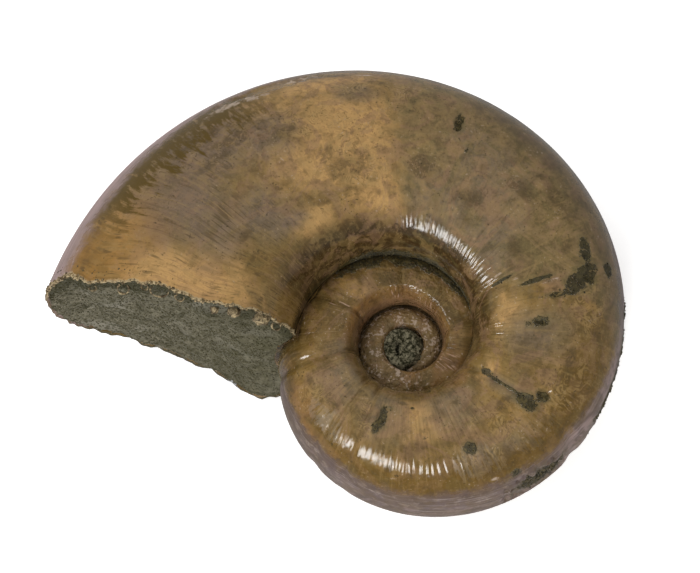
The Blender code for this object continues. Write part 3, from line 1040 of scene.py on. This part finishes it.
mask = node(scatter, "GeometryNodeInputNamedAttribute", {"data_type": "FLOAT"}, Name=wanted["Mask"])
ragged = node(scatter, "ShaderNodeTexNoise", Scale=230.0, Detail=6.0, Roughness=0.62, Distortion=1.2)
chance = Field(scatter, mask.outputs["Attribute"]) + (Field(scatter, ragged.outputs["Fac"]) - 0.5) * wanted["Fraying"]
chance = ease((chance - wanted["Threshold"]) * 8.0) * wanted["Grains per area"]
strewn = node(
    scatter, "GeometryNodeDistributePointsOnFaces", Mesh=wanted["Geometry"], Density=chance, Seed=wanted["Seed"]
)
set_down = node(
    scatter,
    "GeometryNodeInstanceOnPoints",
    Points=strewn,
    Instance=node(scatter, "GeometryNodeMeshIcoSphere", Radius=1.0, Subdivisions=1),
    Rotation=node(scatter, "FunctionNodeEulerToRotation", Euler=random_value(*GRAIN_TURNS)),
    Scale=vector_math("SCALE", random_value(*GRAIN_SCALES), Scale=random_value(wanted["Smallest"], wanted["Largest"])),
)
loose = node(scatter, "GeometryNodeRealizeInstances", Geometry=set_down)
dents = node(scatter, "ShaderNodeTexNoise", Scale=3500.0, Detail=2.0)
dent = vector_math("SUBTRACT", dents.outputs["Color"])
dent.inputs[1].default_value = (0.5, 0.5, 0.5)
dent = vector_math("SCALE", dent, Scale=wanted["Lumpiness"])
dented = node(scatter, "GeometryNodeSetPosition", Geometry=loose, Offset=dent)
coated = node(scatter, "GeometryNodeSetMaterial", Geometry=dented, Material=wanted["Material"])
fill(scatter, scatter_out, Geometry=coated)
print("scattering tree:", len(scatter.nodes), "nodes")

# %% Scatter grains and crumbs
crumbled_shell = new_material("crumbled_shell")
dark_crust = new_material("dark_crust")


def strew(name, over, material, seed, per_area, smallest, largest, **inputs):
    """Scatters grains over a finished piece."""
    inputs = {**inputs, "Grains per area": per_area, "Smallest": smallest, "Largest": largest}
    mesh = evaluated(pieces[over].data, scatter, {**inputs, "Seed": seed, "Material": material})
    mesh.name = name
    pieces[name] = as_piece(name, mesh)


strew("sand_grains", "broken_face", sandstone, 3, 4.5e6, 0.00007, 0.00019)
strew("near_plug_grains", "near_plug", plug_stone, 4, 2.5e6, 0.0001, 0.00028)
strew("lip_crumbs", "last_whorl", crumbled_shell, 5, 6.0e6, 0.00008, 0.00026, Mask="lip")
ON_CRUSTS = {"Mask": "crust", "Fraying": 2.2, "Threshold": 0.12}
for seed, over in ((7, "last_whorl"), (8, "near_coil")):
    strew(over + "_crust_grains", over, dark_crust, seed, 3.0e6, 0.00008, 0.00021, **ON_CRUSTS)

# %% [markdown]
# ## Little tubes and nodules under the lip
#
# Where the lip is crumbled, small round things sit in the sandstone: cut-through tubes, seen as pale
# rings, and pale nodules. Each is a line in a table: where it is on the face, how large, and whether it
# is a ring. A ring is a torus and a nodule a ball, both made a little uneven by noise.

# %% Tubes and nodules
# distance from the coil's axis, depth below the lip, half width, half height, ring or not
TUBES = (
    (0.043, 0.0036, 0.0005, 0.00048, True), (0.0387, 0.0038, 0.00078, 0.00076, True),
    (0.0336, 0.0036, 0.00125, 0.00085, True), (0.0308, 0.004, 0.0006, 0.00055, True),
    (0.0357, 0.003, 0.00045, 0.0004, True), (0.026, 0.0034, 0.00062, 0.00058, False),
    (0.0233, 0.0026, 0.00085, 0.00082, False), (0.0196, 0.0021, 0.00105, 0.00095, False),
    (0.0177, 0.0016, 0.0006, 0.0006, True),
)
TUBE_WALL = 0.00013
TUBE_STEPS, WALL_STEPS = 24, 8
face_points = rock.spots([number for ring in rings for number in ring])
face_radii = flattened(face_points)[:, 0]


def tube_or_nodule(wide, high, is_ring):
    """Points and faces, seen along Z and centred on the origin."""
    shape = bmesh.new()
    if is_ring:
        loops = []
        for a in np.linspace(0.0, 2.0 * np.pi, TUBE_STEPS, endpoint=False):
            wall = TUBE_WALL * (1.0 + 0.4 * np.sin(3.0 * a + wide * 9000.0))
            middle = Vector((wide * np.cos(a), high * np.sin(a), 0.0))
            out = middle.normalized()
            turns = np.linspace(0.0, 2.0 * np.pi, WALL_STEPS, endpoint=False)
            ring = [middle + out * (wall * float(np.cos(b))) + Vector((0.0, 0.0, wall * np.sin(b))) for b in turns]
            loops.append([shape.verts.new(point) for point in ring])
        for loop, next_loop in zip(loops, loops[1:] + loops[:1]):
            for face in zip(loop, next_loop, next_loop[1:] + next_loop[:1], loop[1:] + loop[:1]):
                shape.faces.new(face)
    else:
        bmesh.ops.create_icosphere(shape, subdivisions=3, radius=1.0)
        for point in shape.verts:
            bump = 1.0 + 0.45 * noise.noise(point.co * 1.9 + Vector((wide * 5000.0, 0.0, 0.0)))
            point.co = Vector((point.co.x * wide, point.co.y * high, point.co.z * high * 0.8)) * bump
    bmesh.ops.recalc_face_normals(shape, faces=shape.faces)
    return shape


for number, (radius, below, wide, high, is_ring) in enumerate(TUBES):
    gap = np.hypot(face_radii - radius, below_lip(face_points) - below)
    spot = Vector(face_points[int(np.argmin(gap))])
    coil_angle = np.arctan2(spot.y, spot.x)
    ahead = Vector((-np.sin(coil_angle), np.cos(coil_angle), 1.1)).normalized()
    spot += ahead * (3.0 * TUBE_WALL if is_ring else 0.6 * high)
    shape = tube_or_nodule(wide, high, is_ring)
    shape.transform(AS_IT_LIES @ Matrix.Translation(spot) @ ahead.to_track_quat("Z", "Y").to_matrix().to_4x4())
    name = ("tube" if is_ring else "nodule") + f"_{number + 1}"
    mesh = bpy.data.meshes.new(name)
    shape.to_mesh(mesh)
    shape.free()
    mesh.materials.append(crumbled_shell)
    mesh.shade_smooth()
    pieces[name] = as_piece(name, mesh)
print("tubes and nodules under the lip:", len(TUBES))

# %% [markdown]
# ## Sandstone, as a shader group
#
# Sandstone shows in the broken end, in the plug of the umbilicus and as crusts on the shell, so its
# grain is one node group that all of them use. Grains are a Voronoi pattern, each cell with its own
# grey, and two sizes of noise give bedding and dirt. The group puts out a colour, a roughness and a
# height. The height goes to a Bump node outside, because only the material knows what lies beside it.

# %% The sandstone group
STONE = {
    "dark bed": (0.068, 0.060, 0.033),
    "light bed": (0.140, 0.124, 0.082),
    "light grain": (0.190, 0.175, 0.120),
    "dark grain": (0.030, 0.028, 0.013),
    "dirt": (0.052, 0.049, 0.022),
    "olive": (0.058, 0.053, 0.019),
    "dark matrix and shade": (0.034, 0.031, 0.010),
    "crack": (0.020, 0.019, 0.008),
    "dust": (0.200, 0.184, 0.142),
}


def object_spot(tree, stretch=(1.0, 1.0, 1.0)):
    """Object coordinates in metres, stretched for a pattern with a direction."""
    spot = tree.nodes.new("ShaderNodeTexCoord").outputs["Object"]
    return node(tree, "ShaderNodeMapping", Vector=spot, Scale=stretch)


def noise_field(tree, spot, scale, detail=3.0, distortion=0.0, roughness=0.5):
    inputs = {"Scale": scale, "Detail": detail, "Distortion": distortion, "Roughness": roughness}
    return Field(tree, node(tree, "ShaderNodeTexNoise", Vector=spot, **inputs).outputs["Fac"])


def between(value, low, high):
    """Smooth step of a field from 0 at low to 1 at high."""
    return ease((value - low) / (high - low))


def blend(tree, share, first, second):
    """Mixes two colours by a field."""
    mix = node(tree, "ShaderNodeMix", {"data_type": "RGBA"})
    for index, value in ((0, share), (6, first), (7, second)):
        connect(tree, mix.inputs[index], (*value, 1.0) if isinstance(value, tuple) else value)
    return mix.outputs[2]


def layered(tree, palette, colour, *coats):
    """Lays coats over a colour. Each is a share from 0 to 1, and a name in the palette or a socket."""
    for share, coat in coats:
        colour = blend(tree, share, colour, palette[coat] if isinstance(coat, str) else coat)
    return colour


grit, grit_in, grit_out = new_tree(
    "Sandstone", "ShaderNodeTree", {"Grains per metre": 4200.0}, ("Color", "Roughness", "Height")
)
spot = object_spot(grit)
grains = node(grit, "ShaderNodeTexVoronoi", Vector=spot, Scale=grit_in["Grains per metre"])
shade = Field(grit, node(grit, "ShaderNodeSeparateColor", Color=grains.outputs["Color"]).outputs[0])
dirt = noise_field(grit, spot, 330.0, 4.0)
beds = noise_field(grit, object_spot(grit, (1.0, 1.2, 1.9)), 520.0, 5.0, 0.4)
rock_colour = layered(
    grit,
    STONE,
    blend(grit, between(beds, 0.3, 0.7), STONE["dark bed"], STONE["light bed"]),
    (between(shade, 0.55, 1.0) * 0.40, "light grain"),
    (between(shade, 0.4, 0.0) * 0.40, "dark grain"),
    (between(dirt, 0.52, 0.72) * 0.45, "dirt"),
)
bumps = shade * 0.00003 + beds * 0.00016 + noise_field(grit, spot, 2600.0) * 0.00004
fill(grit, grit_out, Color=rock_colour, Roughness=dirt * 0.2 + 0.75, Height=bumps)


def shader_attribute(tree, name):
    return Field(tree, node(tree, "ShaderNodeAttribute", {"attribute_name": name}).outputs["Fac"])


def finish_material(material, colour, roughness, height, specular):
    """Feeds the material's shader with a colour, a roughness and a height in metres."""
    tree = material.node_tree
    shader = tree.nodes["Principled BSDF"]
    bump = node(tree, "ShaderNodeBump", Height=height, Distance=1.0)
    fill(tree, shader, Base_Color=colour, Roughness=roughness, Normal=bump, Specular_IOR_Level=specular)


rock_tree = sandstone.node_tree
rock_look = node(rock_tree, "ShaderNodeGroup", {"node_tree": grit}).outputs
wisps = noise_field(rock_tree, object_spot(rock_tree), 420.0, 5.0, 1.0, 0.6) - 0.5
under_lip = shader_attribute(rock_tree, "below_lip") + wisps * 0.008
inward = between(shader_attribute(rock_tree, "radius") + wisps * 0.012, 0.036, 0.017)
cracks = noise_field(rock_tree, object_spot(rock_tree, (0.5, 1.0, 2.6)), 260.0, 6.0, 1.6, 0.6)
pale_dust = between(noise_field(rock_tree, object_spot(rock_tree), 150.0, 5.0, 0.6, 0.65), 0.52, 0.68)
rock_paint = layered(
    rock_tree,
    STONE,
    rock_look["Color"],
    (inward * 0.45, "olive"),
    # dark matrix and painted shade just below the near lip
    (between(under_lip, 0.0085, 0.0040) * 0.75, "dark matrix and shade"),
    (between(np.absolute(cracks - 0.5), 0.014, 0.003) * 0.55, "crack"),
    (pale_dust * (1.0 - inward * 0.7) * 0.7, "dust"),
)
finish_material(sandstone, rock_paint, rock_look["Roughness"], rock_look["Height"], 0.2)
print("sandstone group:", len(grit.nodes), "nodes")

# %% [markdown]
# ## Crumbs of shell and dark crusts
#
# The crumbs are calcite, cream where fresh and brown where stained. The crusts are the same sandstone,
# darker with clay. Both take the grain group's height, and noise a little larger than a grain gives
# each grain its own shade.

# %% Crumbs and crusts
# patches of shade per metre, the darkest colour and the lightest one
CRUMB_SHADES = {
    crumbled_shell: (1500.0, (0.050, 0.032, 0.012), (0.370, 0.285, 0.155)),
    dark_crust: (1500.0, (0.014, 0.011, 0.003), (0.096, 0.076, 0.030)),
    plug_stone: (1900.0, (0.016, 0.016, 0.005), (0.240, 0.215, 0.140)),
}
for material, (per_metre, deep, light) in CRUMB_SHADES.items():
    tree = material.node_tree
    look = node(tree, "ShaderNodeGroup", {"node_tree": grit}, Grains_per_metre=3000.0).outputs
    per_grain = noise_field(tree, object_spot(tree), per_metre, 5.0, 0.6, 0.7)
    crumb_paint = blend(tree, between(per_grain, 0.40, 0.66), deep, light)
    finish_material(material, crumb_paint, look["Roughness"], look["Height"], 0.3)
print("crumb and crust materials:", [material.name for material in CRUMB_SHADES])

# %% [markdown]
# ## Growth lines, as a shader group
#
# The animal added a thin line of shell every few days. They are a third of a millimetre apart, finer
# than the mesh, so they are bump and a faint streak of colour. A wave runs along the turns, its pitch
# opens towards the middle of the coil, and noise along the lines makes them fade in and out. Seen in
# a highlight they give the comb of bright strokes that the real shell has.

# %% The growth line group
LINES_PER_TURN, OUTER_FOLDS, INNER_FOLDS = 260.0, 143.0, 74.0
lines, lines_in, lines_out = new_tree(
    "Growth lines", "ShaderNodeTree", {"Behind": 0.0, "Across": 0.0}, ("Streak", "Height")
)
behind, across = lines_in["Behind"], lines_in["Across"]
near_break = np.minimum(behind, 0.3)
count = behind * LINES_PER_TURN + (near_break - near_break * near_break / 0.6) * LINES_PER_TURN
sway = node(lines, "ShaderNodeCombineXYZ", X=behind * 40.0, Y=across * 1.3)
jitter = noise_field(lines, sway, 1.0, 2.0)
strand = node(lines, "ShaderNodeCombineXYZ", X=count * 0.9, Y=across * 2.4)
strength = noise_field(lines, strand, 0.55, 3.0)
wave = np.sin((count + jitter * 2.0) * (2.0 * np.pi))
outer_turn = np.minimum(behind, 1.0)
folds = outer_turn * OUTER_FOLDS + (behind - outer_turn) * INNER_FOLDS
fold = np.sin((folds + jitter * 2.0) * (2.0 * np.pi))
relief_wave = wave * between(strength, 0.35, 0.75) * 0.4 + fold * between(strength, 0.20, 0.55)
fill(lines, lines_out, Height=relief_wave, Streak=noise_field(lines, strand, 1.0, 4.0, 0.0, 0.6))
print("growth line group:", len(lines.nodes), "nodes")

# %% [markdown]
# ## The shell's own material: ground colours
#
# The polished shell is warm brown, in large soft zones of gold, olive, grey and rust. It is amber by
# the broken lip, and mauve along the outer edge, where mother-of-pearl shows through. The umbilicus
# wall and its foot by the seam are painted nearly black-brown: partly the shell's dark colour, partly
# painted shade in that recess. The places across and behind the break steer these zones, and noise on
# Object coordinates breaks them up. A finer mottle lies over all of them, like a stained marble.

# %% Zones and mottle
FINISH = {
    "brown": (0.140, 0.086, 0.026),
    "gold": (0.205, 0.122, 0.032),
    "pale gold": (0.440, 0.258, 0.095),
    "olive": (0.186, 0.129, 0.061),
    "grey": (0.152, 0.110, 0.068),
    "rust": (0.105, 0.056, 0.006),
    "amber": (0.250, 0.122, 0.022),
    "deep olive": (0.078, 0.046, 0.003),
    "painted rim shade": (0.062, 0.041, 0.020),
    "pale pearl and painted sheen": (0.375, 0.262, 0.250),
    "umber": (0.018, 0.008, 0.002),
    "mauve": (0.128, 0.090, 0.092),
    "light mottle": (0.270, 0.176, 0.066),
    "dark mottle": (0.056, 0.036, 0.013),
    "cream": (0.440, 0.340, 0.190),
    "flake": (0.400, 0.310, 0.240),
    "plum": (0.075, 0.045, 0.036),
    "rose": (0.220, 0.128, 0.072),
    "moss": (0.100, 0.086, 0.034),
    "red brown": (0.235, 0.120, 0.042),
    "bone": (0.215, 0.150, 0.078),
    "salmon painted light": (0.340, 0.190, 0.100),
    "painted pink highlight": (0.560, 0.370, 0.260),
    "bright scratch": (0.300, 0.245, 0.225),
    "matrix": (0.020, 0.018, 0.006),
    "green crust": (0.072, 0.055, 0.018),
    "shadow": (0.008, 0.004, 0.001),
}
# patches per metre, detail, distortion, roughness
NOISES = (
    (75.0, 3.0, 0.6, 0.5), (230.0, 6.0, 1.2, 0.62), (800.0, 5.0, 0.25, 0.66), (2800.0, 3.0, 0.0, 0.5),
    (150.0, 6.0, 2.0, 0.66), (430.0, 3.0, 0.3, 0.5), (460.0, 5.0, 1.2, 0.6),
)
skin = shell_stone.node_tree
behind, across = shader_attribute(skin, "behind"), shader_attribute(skin, "across")


def stretched_noise(along, over, detail=3.0, roughness=0.5):
    """Noise on the shell's own places, so that a pattern can run with the growth lines or the coil."""
    spot = node(skin, "ShaderNodeCombineXYZ", X=behind * along, Y=across * over)
    return noise_field(skin, spot, 1.0, detail, 0.0, roughness)


def coil(start, end):
    """Smooth step along the coil, from 0 to 1 between two places in turns behind the break."""
    return between(behind, start, end)


width = np.absolute(across)
near = np.greater(across, 0.0)
spot = object_spot(skin)
broad, patchy, mottle, fine, tint, clouds, blotch = (noise_field(skin, spot, *settings) for settings in NOISES)
combed = stretched_noise(300.0, 7.0, 4.0, 0.62)
zone, fray = broad - 0.5, patchy - 0.5
by_break = between(behind + zone * 0.04, 0.125, 0.062)
blotchy = coil(0.050, 0.095) * coil(0.34, 0.26)
mottle = mottle + (combed - mottle) * by_break * 0.5
speckle = mottle - 0.5
clouds = 0.5 + (clouds - 0.5) * (1.0 - by_break * 0.55)


def stain(name, low=0.0, high=0.45, fraying=1.5):
    """A placed mark with its edge frayed by noise, as a share from 0 to 1."""
    return between(shader_attribute(skin, name) + fray * fraying + speckle * 0.5, low, high)


slant = behind + (width - 1.43) * 0.085 + fray * 0.012
olive = between(behind + fray * 0.07 + speckle * 0.03, 0.204, 0.230) * between(slant, 0.388, 0.380) * near
mossy = between(tint, 0.50, 0.44) * olive * coil(0.24, 0.30)
amber = between(behind + zone * 0.05, 0.075, 0.0) * between(width + zone * 0.5, 0.95, 0.55) * near
rust = between(behind + zone * 0.1, 0.43, 0.52) * between(width + zone * 0.3 + fray * 0.2, 0.78, 0.50)
inner = coil(0.93, 1.02)
# partly painted shade: the umbilicus wall and its foot by the seam are darkened with umber, partly as the wall's own
# dark colour
wall = between(width + zone * 0.3 + fray * 0.3, 1.26, 1.58) * between(behind + zone * 0.1, 0.62, 0.40)
wall = wall * between(behind + fray * 0.02, 0.012, 0.055)
foot = between(width + fray * 0.3, 1.55, 1.85) * coil(0.02, 0.06) * coil(1.04, 0.95)
# painted shadow: the seams, the edge where the last whorl laps over the next one, and the inner whorls' seams are
# painted near black
seam = between(width + fray * 0.10, 1.82, 1.94) * coil(0.24, 0.12)
lapped = between(width + fray * 0.08, 0.66, 0.60) * coil(0.985, 1.0) * coil(1.14, 1.06)
inner_seam_shadow = between(width + fray * 0.1, 1.86, 1.94) * coil(0.9, 1.0)
colour = layered(
    skin,
    FINISH,
    blend(skin, between(broad, 0.38, 0.62), FINISH["brown"], FINISH["gold"]),
    (between(patchy, 0.50, 0.64) * 0.35, "pale gold"),
    (between(patchy, 0.46, 0.34) * 0.35, "grey"),
    (olive * 0.75, "olive"),
    (mossy * 0.26, "deep olive"),
    (stain("pale", -0.35, 0.75) * (1.0 - olive * coil(0.30, 0.26)) * coil(1.30, 0.80), "pale gold"),
    (stain("grey", -0.30, 0.70) * 0.85, "grey"),
    (stain("grey", 0.0, 0.8) * coil(0.16, 0.12) * 0.26, "mauve"),
    (amber * 0.85, "amber"),
    (rust * 0.92, "rust"),
    (inner * (1.0 - stain("pale")) * 0.42, "umber"),
    (stain("red", -0.2, 0.6) * 0.55, "red brown"),
    (inner * between(width, 1.05, 1.40) * 0.80, "red brown"),
    # painted light: the inner whorls' slope down to the seam is painted a lighter salmon, so that it looks lit
    (inner * between(width + fray * 0.2, 1.45, 1.80) * coil(1.60, 1.50) * 0.75, "salmon painted light"),
    (coil(1.70, 1.80) * 0.55, "bone"),
    # umber on the umbilicus wall and its foot, partly painted shade
    (np.maximum(wall, foot * 0.6) * 0.90, "umber"),
    # painted shadow in the seams
    (np.maximum(np.maximum(seam, lapped), inner_seam_shadow) * 0.9 * near, "shadow"),
    (between(tint, 0.52, 0.57) * (0.50 - by_break * 0.25) * (1.0 - rust * 0.7), "rose"),
    (between(tint, 0.47, 0.42) * (0.18 + olive * 0.20), "moss"),
    (between(clouds, 0.46, 0.68) * 0.26 * (1.0 - rust * 0.6), "light mottle"),
    (between(clouds, 0.52, 0.32) * 0.36, "dark mottle"),
    (between(mottle, 0.51, 0.66) * 0.30 * (1.0 - rust * 0.5), "light mottle"),
    (between(mottle, 0.49, 0.34) * 0.36, "dark mottle"),
    (between(fine, 0.43, 0.31) * 0.30, "dark mottle"),
    (between(fine, 0.59, 0.70) * 0.26, "light mottle"),
)
print("finishes:", len(FINISH), "- nodes so far:", len(skin.nodes))

# %% [markdown]
# ## Growth lines, sutures and mother-of-pearl
#
# Three patterns follow the shell itself. Short dark dashes and faint streaks lie along the growth
# lines. The sutures are curly, like fern leaves: the level lines of a noise are such curls, so bands
# of one noise stand in for them inside the placed marks. The pearl of the outer edge has fine
# scratches that run with the coil.

# %% Patterns that follow the shell
CURLS = 7.0
growth_look = node(skin, "ShaderNodeGroup", {"node_tree": lines}, Behind=behind, Across=across)
streak = Field(skin, growth_look.outputs["Streak"])
streaky = 0.24 - blotchy * 0.14
dash = stretched_noise(520.0, 9.0, 1.0)
dash_rows = between(stretched_noise(30.0, 9.0, 2.0), 0.47, 0.58)
curls = np.sin(noise_field(skin, spot, 330.0, 2.5, 1.6, 0.55) * (2.0 * np.pi * CURLS))
suture = stain("suture", 0.0, 0.5) * between(clouds, 0.40, 0.56)
smudge = stain("smudge", -0.15, 0.5, 2.6) * between(mottle + curls * 0.05, 0.38, 0.54)
olive_band = between(np.absolute(width - 0.46) + (combed - 0.5) * 1.0, 0.21, 0.07) * coil(0.01, 0.05)
# painted shade: the rim on the right side, away from the light, is painted darker
right_rim_shade = between(width + zone * 0.4 + fray * 0.2, 0.66, 0.34) * coil(0.22, 0.30) * coil(0.50, 0.43)
# pale specks, painted as glints and stronger on the inner whorls
pale_specks_and_glints = between(fine, 0.63, 0.68) * between(clouds + speckle * 0.6, 0.54, 0.62)
specks = between(fine, 0.36, 0.31) * between(patchy, 0.50, 0.58)
scratch = stretched_noise(22.0, 90.0, 4.0, 0.6)
pearl_edge = 0.34 - coil(0.22, 0.32) * 0.06 + coil(0.46, 0.58) * 0.08 + coil(0.14, 0.05) * 0.07
pearl = between(width - pearl_edge + fray * 0.20 + speckle * 0.16, 0.05, -0.12)
pearl = pearl * between(behind + fray * 0.03, 0.975, 0.955)
# pale pearl, partly painted sheen: near the break the left rim is painted paler, where light falls on it
pale_pearl_and_sheen = coil(0.44, 0.50) * coil(0.60, 0.55) * between(patchy, 0.42, 0.52) * 0.45
pale_pearl_and_sheen = pale_pearl_and_sheen + between(behind + zone * 0.1, 0.20, 0.10) * (0.46 + 0.44 * between(width + fray * 0.5, 0.08, 0.20))
edge_tint = pearl * between(width + fray * 0.5, 0.22, 0.06)
colour = layered(
    skin,
    FINISH,
    colour,
    (between(streak, 0.52, 0.66) * (streaky + by_break * 0.06), "light mottle"),
    (between(streak, 0.47, 0.34) * (streaky + by_break * 0.02), "dark mottle"),
    (between(blotch, 0.50, 0.59) * blotchy * 0.28, "light mottle"),
    (between(blotch, 0.49, 0.40) * blotchy * 0.22, "dark mottle"),
    (between(dash, 0.56, 0.66) * dash_rows * by_break * 0.55, "dark mottle"),
    (smudge * 0.60, "dark mottle"),
    (between(curls, 0.30, 0.85) * suture * 0.50, "light mottle"),
    (between(curls, -0.40, -0.90) * suture * 0.38, "dark mottle"),
    (olive_band * between(behind + zone * 0.1, 0.155, 0.115) * 0.92, "deep olive"),
    (right_rim_shade * 0.60, "painted rim shade"),
    (stain("flake", 0.0, 0.5, 2.2) * between(mottle, 0.44, 0.56) * 0.75, "flake"),
    (pale_specks_and_glints * (0.35 + 0.5 * inner), "flake"),
    (specks * 0.6, "matrix"),
    (pearl * (0.52 + 0.30 * between(clouds + fray * 0.5, 0.42, 0.56)), "mauve"),
    (pearl * between(width + fray * 0.1, 0.16, 0.32) * coil(0.50, 0.60) * 0.60, "plum"),
    (pearl * between(patchy, 0.50, 0.58) * 0.30, "brown"),
    (pearl * between(blotch, 0.52, 0.60) * coil(0.55, 0.65) * 0.40, "plum"),
    (pearl * between(mottle, 0.54, 0.62) * coil(0.55, 0.65) * 0.22, "flake"),
    (pearl * pale_pearl_and_sheen, "pale pearl and painted sheen"),
    (edge_tint * between(tint, 0.47, 0.57) * 0.34, "brown"),
    (edge_tint * between(clouds, 0.47, 0.40) * 0.34, "plum"),
    (edge_tint * between(blotch, 0.53, 0.62) * 0.30, "pale pearl and painted sheen"),
    (pearl * between(scratch + speckle * 0.3, 0.54, 0.66) * 0.6, "bright scratch"),
    (pearl * between(scratch, 0.48, 0.36) * 0.6, "dark mottle"),
)
print("with growth lines and sutures:", len(skin.nodes))

# %% [markdown]
# ## Crusts, the crumbled lip and the gloss
#
# Crusts of sandstone sit a little proud and are rough, so they stay dull where the shell shines. The
# last millimetre before the break is crumbled and pale cream. All heights meet in one Bump node.

# %% Crusts, lip and gloss
stone_look = node(skin, "ShaderNodeGroup", {"node_tree": grit})
crust, dust = shader_attribute(skin, "crust"), fine - 0.5
crusted = between(crust + fray * 2.2 + speckle * 1.2 + dust * 0.6, 0.04, 0.24)
crusted = crusted * between(mottle + dust * 0.4, 0.33, 0.43) * 0.92
crusted = crusted * between(fine + speckle * 0.5, 0.30, 0.42)
stained = between(crust + fray * 2.6, -0.50, 0.20) * coil(0.88, 0.80)
crust_grain = between(mottle + dust * 0.8, 0.46, 0.62) * (1.0 - coil(0.385, 0.395) * coil(0.45, 0.44) * 0.65)
crust_colour = blend(skin, crust_grain, FINISH["matrix"], FINISH["green crust"])
crumble = behind + fray * 0.005 + dust * 0.003
near_lip, far_lip = between(across, 0.02, 0.12), between(across, -0.20, -0.50)
lip_zone = between(crumble, 0.0018, 0.0006)
rib_highlight_strokes = stretched_noise(170.0, 3.0, 3.0)
# painted highlight: bright sparkles painted on the third whorl
painted_sparkles = between(mottle + dust * 0.6, 0.55, 0.63) * coil(1.60, 1.75)
colour = layered(
    skin,
    FINISH,
    colour,
    (stained * 0.42, "moss"),
    (crusted * 0.95, crust_colour),
    (lip_zone * 0.7, "deep olive"),
    (between(crumble + fray * 0.012, 0.010, 0.005) * far_lip, "green crust"),
    (between(crumble, 0.0026, 0.0012) * near_lip * between(fine, 0.38, 0.50) * 0.9, "cream"),
    # painted highlight: pink strokes on the ribs
    (stain("rib_highlight", 0.0, 0.5, 1.2) * between(rib_highlight_strokes, 0.53, 0.62) * 0.55, "painted pink highlight"),
    (painted_sparkles * 0.75, "flake"),
)
dull = np.maximum(crusted, lip_zone)
rough = (mottle * 0.14 + 0.06) + pearl * 0.34
rough = rough + stain("worn", -0.1, 0.4) * between(combed, 0.57, 0.50) * 0.48
rough = rough + (0.85 - rough) * dull
ridge = 0.000004 + stain("ridge", -0.1, 0.6) * 0.000026
lines_height = Field(skin, growth_look.outputs["Height"]) * ridge * (1.0 - dull)
stone_height = Field(skin, stone_look.outputs["Height"]) * dull
beads = noise_field(skin, spot, 900.0, 2.0) * inner * 0.00009
beads = beads + noise_field(skin, spot, 1500.0, 2.0) * coil(1.55, 1.75) * 0.00050
beads = beads + noise_field(skin, spot, 1800.0, 2.0) * coil(1.12, 1.22) * coil(1.46, 1.34) * 0.00020
height = lines_height + stone_height + crusted * 0.00008 + patchy * 0.00006 + mottle * 0.00001 + beads
finish_material(shell_stone, colour, rough, height, 0.38)
print("shell material:", len(skin.nodes), "nodes")

# %% [markdown]
# ## The floor and the lights
#
# The fossil was photographed on white, under broad, soft light, with two bright windows that the
# polished shell mirrors as combs of short strokes. So a large softbox hangs overhead and two small
# ones stand low in front, where their mirror images fall on the shoulders of the whorls. The large one
# only lights, and the left one is only mirrored, because together they would wash the colours out.

# %% The floor and the lights
WHITE = (1.0, 1.0, 1.0, 1.0)
FLOOR_GREY = (0.90, 0.90, 0.90, 1.0)
FLOOR_GLOW, ROOM_LIGHT = 0.48, 0.34
TARGET = Vector((0.0, 0.0, 0.02))
# direction from the fossil, distance, width, depth, watts
SOFTBOXES = {
    "front_strip": ((-0.10, -0.85, 0.55), 0.6, 0.16, 0.20, 2.10),
    "left_strip": ((-0.62, -0.62, 0.55), 0.6, 0.26, 0.20, 3.20),
    "overhead": ((-0.30, 0.34, 1.0), 1.6, 2.0, 2.0, 24.0),
}
bpy.ops.mesh.primitive_plane_add(size=3.0)
floor = bpy.context.object
floor.name = "floor"
floor_paint = new_material("pale_floor")
fill(
    floor_paint.node_tree,
    floor_paint.node_tree.nodes["Principled BSDF"],
    Base_Color=FLOOR_GREY,
    Roughness=0.9,
    Emission_Color=WHITE,
    Emission_Strength=FLOOR_GLOW,
)
floor.data.materials.append(floor_paint)
floor.visible_glossy = False

world = bpy.data.worlds.new("room")
world.use_nodes = True
fill(world.node_tree, world.node_tree.nodes["Background"], Color=WHITE, Strength=ROOM_LIGHT)
bpy.context.scene.world = world
bpy.context.scene.view_settings.view_transform = "Standard"


def softbox(name, direction, distance, width, depth, watts):
    """A rectangular light that looks at the shell."""
    light = bpy.data.lights.new(name, "AREA")
    light.shape = "RECTANGLE"
    light.size, light.size_y = width, depth
    light.energy = watts
    lamp = add_object(name, light)
    lamp.location = TARGET + Vector(direction).normalized() * distance
    lamp.rotation_euler = (TARGET - lamp.location).to_track_quat("-Z", "Y").to_euler()
    return lamp


lamps = {name: softbox(name, *settings) for name, settings in SOFTBOXES.items()}
lamps["left_strip"].visible_diffuse = False
lamps["overhead"].visible_glossy = False
print("lights:", len(lamps))
